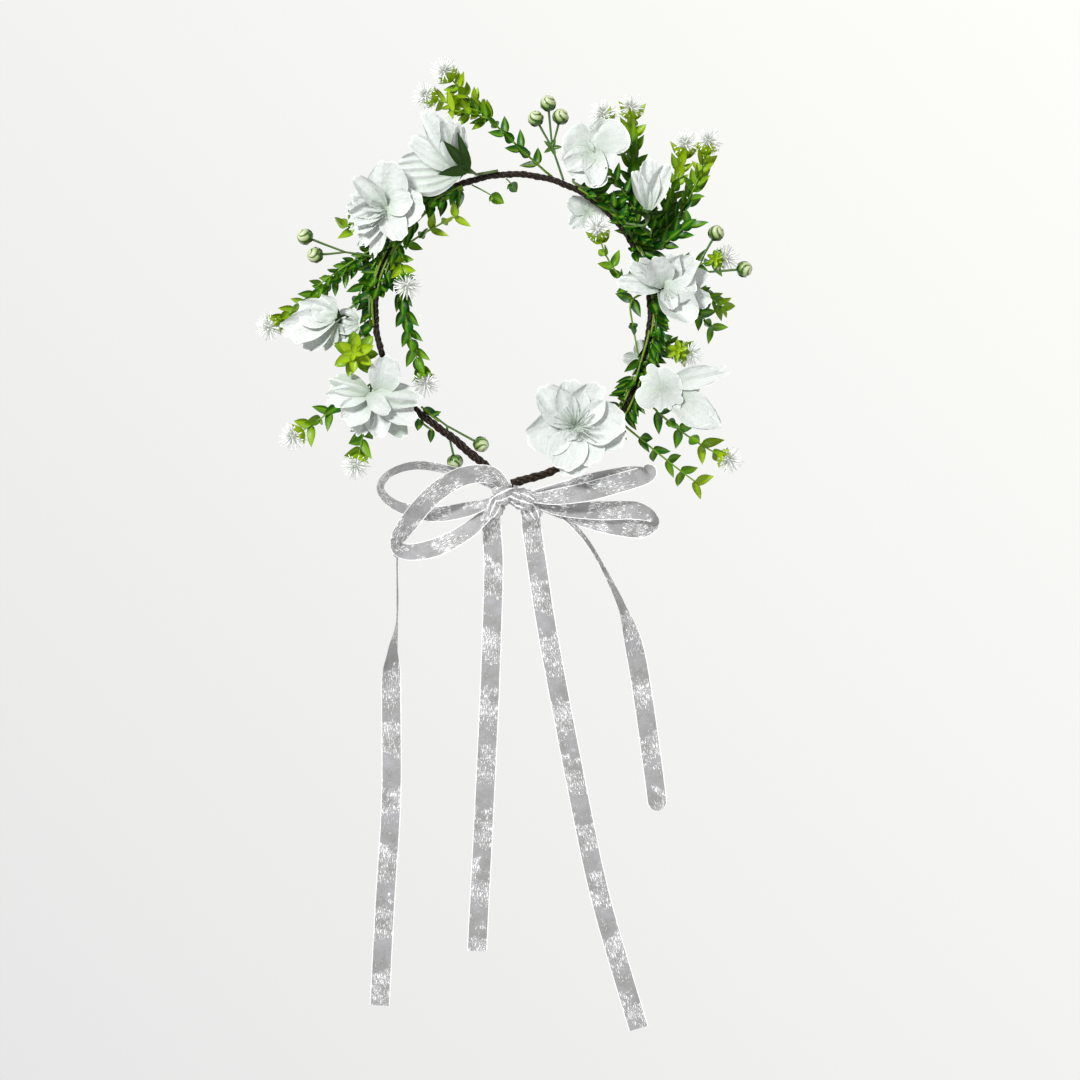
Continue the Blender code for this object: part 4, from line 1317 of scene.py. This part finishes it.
    blossom(
        "blossom_bottom_right",
        [
            petal((37.0, -69.5, 27.0), 266, 30, 24, opening=2, curl=6, cup=0.2, folds=0.3, shade=-1.0),
            petal((37.0, -69.5, 27.0), 345, 31, 22, opening=3, curl=8, cup=0.25, folds=0.3, shade=-1.0),
            petal((37.0, -69.5, 27.5), 132, 31, 22, opening=6, curl=2, cup=0.5, folds=1.4, shade=-1.0),
            petal((37.0, -69.5, 27.5), 197, 30, 26, opening=5, curl=8, cup=0.25, folds=0.3, shade=-1.0),
            petal(
                (37.0, -69.5, 28.5), 252, 27, 24, opening=6, curl=4, cup=0.15, folds=0.3, ruffle=0.2,
                tip=0.9, shade=-1.0,
            ),
            petal(
                (37.0, -69.5, 28.0), 299, 25, 22, opening=6, curl=4, cup=0.15, folds=0.3, ruffle=0.2,
                tip=0.9, shade=-1.0,
            ),
            petal(
                (37.0, -69.5, 29.0), 8, 30, 27, opening=6, curl=2, cup=0.25, folds=0.4, ruffle=0.5,
                shade=-1.0,
            ),
            petal((37.0, -69.5, 28.5), 97, 28, 21, opening=6, curl=2, cup=0.3, folds=0.8, shade=-1.0),
            petal((37.0, -69.5, 29.2), 60, 29, 22, opening=8, curl=2, cup=0.35, folds=0.6, shade=-1.0),
            petal(
                (36.5, -69.5, 29.2), 236, 9, 11, opening=6, curl=6, cup=0.3, ruffle=0.4, foot=0.6,
                shade=-1.0,
            ),
            petal(
                (37.0, -69.5, 29.2), 300, 9, 11, opening=6, curl=6, cup=0.3, ruffle=0.4, foot=0.6,
                shade=-1.0,
            ),
            stamens((37.0, -69.5, 32.0), 15, 15, 30, 80, 240, 0.45),
            stamens((37.0, -70.0, 32.0), 9, 8, 50, 250, 200, 0.45),
        ],
        fabric,
        "blossom_bottom_right_body",
    )
    calyx("blossom_upper_left", (-80.0, 60.0, 27.0), 24, 49, (146, 60, -5), green)
    calyx(
        "blossom_top_left", (-31.0, 85.0, 25.0), 84, 158, (104, 60, -8), green, sepals=3, blade=8.0,
        over=True,
    )
    calyx("blossom_top_right", (49.5, 92.0, 25.0), 18, 100, (64, 50, -5), green)
    calyx("blossom_right_top", (80.0, 59.8, 29.1), 80, 88, (37, 60, -5), green, sepals=5, blade=13.0)
    calyx("blossom_right", (90.0, 14.0, 25.0), 35, 80, (11, 70, -6), green)
    calyx("blossom_right_low", (93.0, -49.0, 25.0), 40, 200, (-24, 50, 5), green)
    calyx("blossom_left", (-105.0, -6.0, 25.0), 38, 230, (176, 30, 6), green)
    calyx("blossom_left_low", (-84.0, -51.0, 25.0), 30, 270, (212, 60, 6), green)
    calyx(
        "blossom_bottom_right", (37.0, -69.0, 27.8), 5, 63, (-60, 85, -6), green,
        "blossom_bottom_right_body", neck=3.4, reach=3.0,
    )


def build_sprays(green, white):
    """The leaf sprays with their puffs: dark at the hoop and lime towards the tips."""
    rest = PUFF_REST
    swing = "spray_top_left_body"
    start = beside_hoop(77, -10)
    long = [beside_hoop(74, -10, 2.0), *stroke(start, 138, 82, -6, rest)]
    short = stroke(long[10], 168, 31, -8, rest)
    spray(
        "spray_top_left",
        [
            twig(long, 11, 0.14, 0.9, 1.12, (0.0, 0.85), 0.0, 42.0),
            twig(long, 6, 0.6, 0.97, 1.1, (0.7, 0.95), 45.0, 62.0),
            twig(short, 6, 0.1, 0.95, 1.1, (0.6, 1.0), 45.0, 60.0),
            twig(stroke(long[9], 165, 22, 10, 16), 5, 0.1, 1.0, 1.1, (0.7, 0.95), 30.0, 60.0),
            ruff(long),
            ruff(short),
        ],
        green,
        swing,
    )
    puff("puff_top_left_1", long, white, swing)
    puff("puff_top_left_2", short, white, swing)

    start = beside_hoop(31, -20)
    long = stroke(start, 92, 75, 0, rest)
    short = stroke(long[8], 126, 33, -12, rest)
    side = stroke(long[3], 118, 30, 20, 22)
    low = stroke(start, 126, 26, 10, 20)
    spray(
        "spray_top_right",
        [
            twig(long, 15, 0.05, 0.96, 1.3, (0.0, 0.92), 0.0, 42.0),
            twig(short, 7, 0.3, 0.95, 0.95, (0.6, 0.95), 45.0),
            twig(side, 7, 0.1, 1.0, 1.0, (0.1, 0.5), 0.0, 46.0),
            twig(low, 6, 0.15, 1.0, 1.05, (0.1, 0.4), 0.0, 46.0),
            ruff(long),
            ruff(short),
        ],
        green,
    )
    puff("puff_top_right_1", short, white)
    puff("puff_top_right_2", long, white)

    start = beside_hoop(23, -10)
    long = stroke(start, 60, 68, 20, rest)
    short = stroke(long[2], 40, 64, 40, 22)
    side = stroke(start, 30, 30, 10, 24)
    low = stroke(long[1], 84, 36, 4, 26)
    spray(
        "spray_right_top",
        [
            twig(long, 15, 0.08, 0.94, 1.12, (0.05, 0.95), 0.0, 44.0),
            twig(short, 13, 0.12, 0.92, 1.12, (0.05, 0.95), 45.0, 46.0),
            garland(62, 22, 38, (-10, 40, 75), 1.2, (0.0, 0.35), 0.45),
            twig(side, 7, 0.1, 1.0, 1.15, (0.05, 0.35), 0.0, 44.0),
            twig(low, 7, 0.2, 1.0, 1.05, (0.05, 0.4)),
            ruff(long),
            ruff(short),
        ],
        green,
    )
    puff("puff_right_top_1", long, white)
    puff("puff_right_top_2", short, white)

    start = beside_hoop(8, 180)
    long = stroke(start, 154, 44, -52, 24)
    bends = ((70.5, 5.0, 15.0), (72.8, -12.0, 12.0), (77.0, -34.0, 10.0))
    short = through([start, *(Vector(point) for point in bends)], 5)
    spray(
        "spray_inner_right",
        [
            twig(long, 5, 0.2, 0.9, 1.05, (0.45, 0.85)),
            twig(short, 3, 0.25, 0.9, 1.2, (0.1, 0.35), 0.0, 62.0),
            ruff(long, tint=0.85),
        ],
        green,
    )
    puff("puff_inner_right", long, white)

    start = beside_hoop(17, -20)
    long = stroke(start, 4, 42, 10, rest)
    short = stroke(long[2], -28, 44, -4, 8)
    low = stroke(start, -36, 50, -14, 12)
    star = long[-1] + Vector((-2.5, -0.5, 8.0))
    spray(
        "spray_right",
        [
            garland(22, -10, 32, (-15, 20, 60), 1.2, (0.0, 0.4), 0.45),
            twig(long, 7, 0.2, 0.9, 1.05, (0.15, 0.6)),
            twig(short, 9, 0.35, 1.0, 1.0, (0.2, 0.75), 45.0, 56.0),
            twig(low, 9, 0.15, 1.0, 1.1, (0.05, 0.55)),
            ruff(long, tint=0.8),
            rosette(star, 0.4),
        ],
        green,
    )
    puff("puff_right", long, white)

    start = beside_hoop(153, 180)
    long = stroke(start, -86, 76, 16, rest)
    short = stroke(start, -72, 18, 0, 25)
    top = stroke(start, 38, 76, -22, 8)
    spray(
        "spray_inner_left",
        [
            garland(112, 172, 32, (150, 185, 110), 1.15, (0.0, 0.45), 0.45),
            twig(long, 11, 0.16, 0.92, 1.15, (0.0, 0.65), 0.0, 36.0),
            twig(short, 3, 0.2, 0.6, 1.0, (0.6, 0.9)),
            twig(top[:9], 5, 0.2, 0.95, 1.1, (0.6, 0.95), 0.0, 60.0),
            sprig(108, Vector((-12.5, 70.0, 12.0)), 11.0, 7.0, 0.6),
            sprig(93, Vector((-1.0, 77.0, 12.0)), 13.0, 6.5, 0.3),
            ruff(long, tint=0.6),
            ruff(short, tint=0.4),
        ],
        green,
    )
    puff("puff_inner_left_1", short, white)
    puff("puff_inner_left_2", long, white)

    start = beside_hoop(149, -30)
    long = stroke(start, 218, 86, -4, rest)
    crown = Vector((-93.0, -27.0, 33.0))
    short = bend(long[2], Vector((-0.1, -1.0, -0.6)).normalized(), crown, UP, 16)
    low = stroke(start, 236, 40, 10, 14)
    over = stroke(start, 210, 52, 8, 18)
    bloom = stroke(start, 172, 26, -14, 22)
    spray(
        "spray_left",
        [
            garland(120, 186, 36, (-10, 25, 60), 1.2, (0.0, 0.4), 0.45),
            twig(long, 21, 0.04, 0.92, 0.95, (0.0, 0.85), 0.0, 44.0),
            twig(over, 9, 0.05, 0.95, 0.8, (0.1, 0.6), 45.0, 50.0),
            twig(low, 6, 0.1, 1.0, 1.1, (0.1, 0.4)),
            twig(bloom, 4, 0.4, 1.0, 1.2, (0.45, 0.75)),
            twig(short, 2, 0.6, 0.8, 0.8, (0.5, 0.7)),
            rosette(Vector((-93.0, -27.0, 33.0))),
            ruff(long),
        ],
        green,
    )
    puff("puff_left", long, white)

    start = beside_hoop(206, -20)
    long = stroke(start, 214, 62, 0, rest)
    short = stroke(long[2], 262, 46, -6, rest)
    spray(
        "spray_low_left",
        [
            garland(200, 216, 10, (-10, 40), 0.95, (0.1, 0.5)),
            garland(226, 236, 4, (5, 175), 0.95, (0.1, 0.5)),
            twig(long, 5, 0.4, 0.86, 1.2, (0.1, 0.85)),
            twig(short, 5, 0.4, 0.86, 1.2, (0.1, 0.8), 45.0),
            ruff(long),
            ruff(short, tint=0.8),
        ],
        green,
    )
    puff("puff_low_left_1", long, white)
    puff("puff_low_left_2", short, white)

    start = beside_hoop(-11, -10)
    long = stroke(start, -22, 18, 0, 17)
    inner = stroke(start, -98, 30, -12, 14)
    spray(
        "spray_right_low",
        [
            garland(-8, -30, 24, (-10, 30, 100), 1.1, (0.0, 0.45), 0.45),
            twig(long, 4, 0.2, 0.95, 1.15, (0.5, 0.85), 45.0, 62.0),
            rosette(long[-1] + Vector((-3.0, -1.0, 8.0)), 0.5),
            twig(inner, 6, 0.15, 1.0, 1.1, (0.02, 0.35)),
            ruff(long, tint=0.9),
        ],
        green,
    )
    puff("puff_right_low", long, white)

    start = beside_hoop(-33, -25)
    long = stroke(start, -48, 64, 22, rest)
    short = stroke(beside_hoop(-46, -25), -40, 58, 4, 6)
    spray(
        "spray_low_right",
        [
            garland(-28, -52, 38, (0, 50, 120, 180), 1.1, (0.0, 0.25), 0.36),
            twig(long, 6, 0.25, 0.9, 1.25, (0.25, 0.9)),
            twig(short, 5, 0.25, 0.98, 1.3, (0.2, 0.85), 45.0, 56.0),
            ruff(long),
        ],
        green,
    )
    puff("puff_low_right", long, white)


def build_buds(green):
    """The four clusters of round buds."""
    buds(
        "buds_top",
        beside_hoop(69, -10, 2.0),
        Vector((23.5, 98.0, 18.0)),
        [Vector((21.0, 124.0, 21.0)), Vector((13.5, 115.0, 21.0)), Vector((28.5, 116.0, 21.0))],
        green,
        "buds_top_body",
        leaflets=5,
    )
    buds(
        "buds_left",
        beside_hoop(158, 10),
        Vector((-100.0, 35.0, 21.0)),
        [Vector((-124.0, 44.0, 23.0)), Vector((-118.0, 33.0, 23.0))],
        green,
        "buds_left_body",
    )
    buds(
        "buds_right",
        beside_hoop(14, 25),
        Vector((108.0, 23.0, 18.0)),
        [Vector((121.5, 46.5, 21.0)), Vector((138.5, 25.0, 20.0))],
        green,
    )
    buds(
        "buds_low_left",
        beside_hoop(231, 180),
        Vector((-40.0, -68.0, 12.0)),
        [Vector((-35.0, -90.0, 6.0)), Vector((-19.0, -79.5, 11.0))],
        green,
    )


def build_bow(cloth):
    """The bow: a knot, two loops on each side and four tails."""
    knot(cloth)
    ribbon_piece(
        "bow_loop_left_upper",
        (
            (-5, -108, 12, 45, 5),
            (-24, -99, 9, 50, 8),
            (-54, -92, 8, 62, 11),
            (-73, -96, 8, 72, 12),
            (-80, -106, 8, 70, 12),
            (-70, -116, 6, 55, 11),
            (-48, -121, 5.5, 35, 12),
            (-27, -118, 6, 35, 11),
            (-8, -112, 8, 40, 5),
        ),
        cloth,
        "crown",
        "folded",
        ["bow_knot"],
        offset=10.0,
    )
    ribbon_piece(
        "bow_loop_left_lower",
        (
            (-4, -106, 18, 20, 6),
            (-13, -98, 21, 15, 11),
            (-30, -99, 21, 15, 12),
            (-48, -110, 18, 15, 12),
            (-63, -127, 13, 20, 12),
            (-70, -139, 9, 50, 11),
            (-64, -144, 7, 35, 12),
            (-46, -141, 7, 20, 12),
            (-26, -130, 7, 25, 11),
            (-8, -113, 9, 30, 6),
        ),
        cloth,
        "crown",
        "folded",
        ["bow_knot"],
        offset=230.0,
    )
    ribbon_piece(
        "bow_loop_right_upper",
        (
            (8, -111, 13, 30, 5),
            (24, -111, 16, 20, 10),
            (44, -108, 18, 10, 12),
            (66, -102, 18, 10, 12),
            (79, -98, 17, 25, 12),
            (80, -96, 14, 60, 11),
            (68, -98, 12, 20, 12),
            (48, -102, 11, 10, 12),
            (28, -107, 11, 20, 10),
            (10, -110, 11, 30, 5),
        ),
        cloth,
        "crown",
        "folded",
        ["bow_knot"],
        offset=450.0,
    )
    ribbon_piece(
        "bow_loop_right_lower",
        (
            (10, -113, 9, 30, 5),
            (28, -118, 9, 20, 9),
            (52, -119, 9, 10, 12),
            (74, -119, 9, 20, 12),
            (85, -124, 8, 60, 11),
            (78, -130, 6, 20, 12),
            (56, -127, 6, 8, 12),
            (32, -121, 7, 20, 9),
            (10, -114, 8, 30, 5),
        ),
        cloth,
        "crown",
        "folded",
        ["bow_knot"],
        offset=670.0,
    )
    far_left = lying(
        (
            (-69.3, -145.6, 88, 8),
            (-70, -149, 88, 10),
            (-70, -185, 88, 12),
            (-73, -205, 60, 12),
            (-74, -228, 5, 12),
            (-74, -293, 0, 12),
            (-78, -360, 0, 12),
            (-81, -419, 0, 12),
        )
    )
    left = [
        (-12.5, -114.5, 6.0, 0, 9), (-13.5, -121, 5.0, 0, 11.5), (-13.3, -128, 2.6, 0, 12),
        (-12.6, -138, 0.8, 0, 12),
    ]
    left += lying(((-12, -158, 0, 12), (-14, -221, 0, 12), (-17, -287, 0, 12), (-22, -386, 0, 12)))
    right = [
        (10.2, -116, 6.5, 0, 9), (10.6, -123, 5.2, 0, 11.5), (11.2, -130, 2.6, 0, 12),
        (12.5, -139, 0.8, 0, 12),
    ]
    right += lying(
        ((14, -149, 0, 12), (22, -200, 0, 12), (41, -299, 0, 12), (54, -358, 0, 12), (76, -433, 0, 12))
    )
    far_right = lying(
        (
            (15, -112, 50, 6),
            (28, -120, 62, 7),
            (42, -134, 72, 8),
            (53, -151, 74, 9),
            (66, -178, 60, 11),
            (74, -205, 10, 12),
            (81, -248, 0, 12),
            (88, -301, 0, 12),
        )
    )
    for name, course, offset, rounded in (
        ("tail_far_left", far_left, 900.0, False),
        ("tail_left", left, 1300.0, False),
        ("tail_right", right, 1700.0, False),
        ("tail_far_right", far_right, 2100.0, True),
    ):
        ribbon_piece(
            name, course, cloth, name + "_body", "laid", ["floor"], steps=34, offset=offset, rounded=rounded
        )


# ---------------------------------------------------------------- floor, light and camera


def build_floor():
    """A pale paper floor that brightens towards one corner and takes no shadow."""
    mesh = bpy.data.meshes.new("floor")
    half = FLOOR_SIZE / 2.0
    centre = Vector((*VIEW_CENTRE, -FLOOR_DROP))
    corners = [(-half, -half), (half, -half), (half, half), (-half, half)]
    mesh.from_pydata([centre + Vector((x, y, 0.0)) for x, y in corners], [], [(0, 1, 2, 3)])
    thing = bpy.data.objects.new("floor", mesh)
    bpy.context.scene.collection.objects.link(thing)
    material, tree, shader = new_material("floor_paper")
    place = tree.nodes.new("ShaderNodeTexCoord")
    split = tree.nodes.new("ShaderNodeSeparateXYZ")
    tree.links.new(place.outputs["Object"], split.inputs["Vector"])
    diagonal = maths(tree, "ADD", split.outputs["X"], split.outputs["Y"])
    level = maths(
        tree, "ADD", maths(tree, "DIVIDE", diagonal, GRADIENT_RUN), 0.5 + GRADIENT_START / GRADIENT_RUN
    )
    colour = ramp(
        tree,
        level,
        [(0.0, (0.799, 0.799, 0.799)), (0.5, (0.896, 0.896, 0.880)), (1.0, (0.991, 1.0, 0.956))],
    )
    shader.inputs["Base Color"].default_value = (0.0, 0.0, 0.0, 1.0)
    shader.inputs["Roughness"].default_value = 1.0
    shader.inputs["Specular IOR Level"].default_value = 0.0
    tree.links.new(colour, shader.inputs["Emission Color"])
    shader.inputs["Emission Strength"].default_value = 1.0
    mesh.materials.append(material)


def area_light(name, place, target, size, energy):
    """A square lamp at a place, aimed at a target."""
    data = bpy.data.lights.new(name, "AREA")
    data.size = size
    data.energy = energy
    thing = bpy.data.objects.new(name, data)
    thing.location = place
    aim = Vector(target) - Vector(place)
    thing.rotation_euler = aim.to_track_quat("-Z", "Y").to_euler()
    bpy.context.scene.collection.objects.link(thing)


def build_studio():
    """Soft overhead light, a low even surround, and a camera looking straight down."""
    area_light("key", (-0.9, 0.75, 1.5), (0.0, -0.05, 0.0), 0.35, 37.0)
    area_light("fill", (0.5, -0.5, 1.1), (0.0, -0.15, 0.0), 0.9, 5.5)
    world = bpy.data.worlds.new("surround")
    world.use_nodes = True
    background = world.node_tree.nodes["Background"]
    background.inputs["Color"].default_value = (1.0, 1.0, 1.0, 1.0)
    background.inputs["Strength"].default_value = 0.25
    scene = bpy.context.scene
    scene.world = world
    scene.view_settings.view_transform = "Standard"
    data = bpy.data.cameras.new("camera")
    data.lens = CAMERA_LENS
    data.sensor_width = SENSOR_WIDTH
    camera = bpy.data.objects.new("camera", data)
    camera.location = (*VIEW_CENTRE, CAMERA_HEIGHT)
    scene.collection.objects.link(camera)
    scene.camera = camera


def build():
    """The stage first, then each piece of the crown. The order fixes the random draws."""
    random.seed(7)
    build_floor()
    build_studio()
    fabric = petal_fabric()
    leaf_green = leaf_plastic()
    build_hoop(floral_tape(), wire_steel())
    build_blossoms(fabric, stem_plastic())
    build_sprays(leaf_green, bristle_plastic())
    build_buds(bud_plastic())
    build_bow(ribbon_organza())


build()
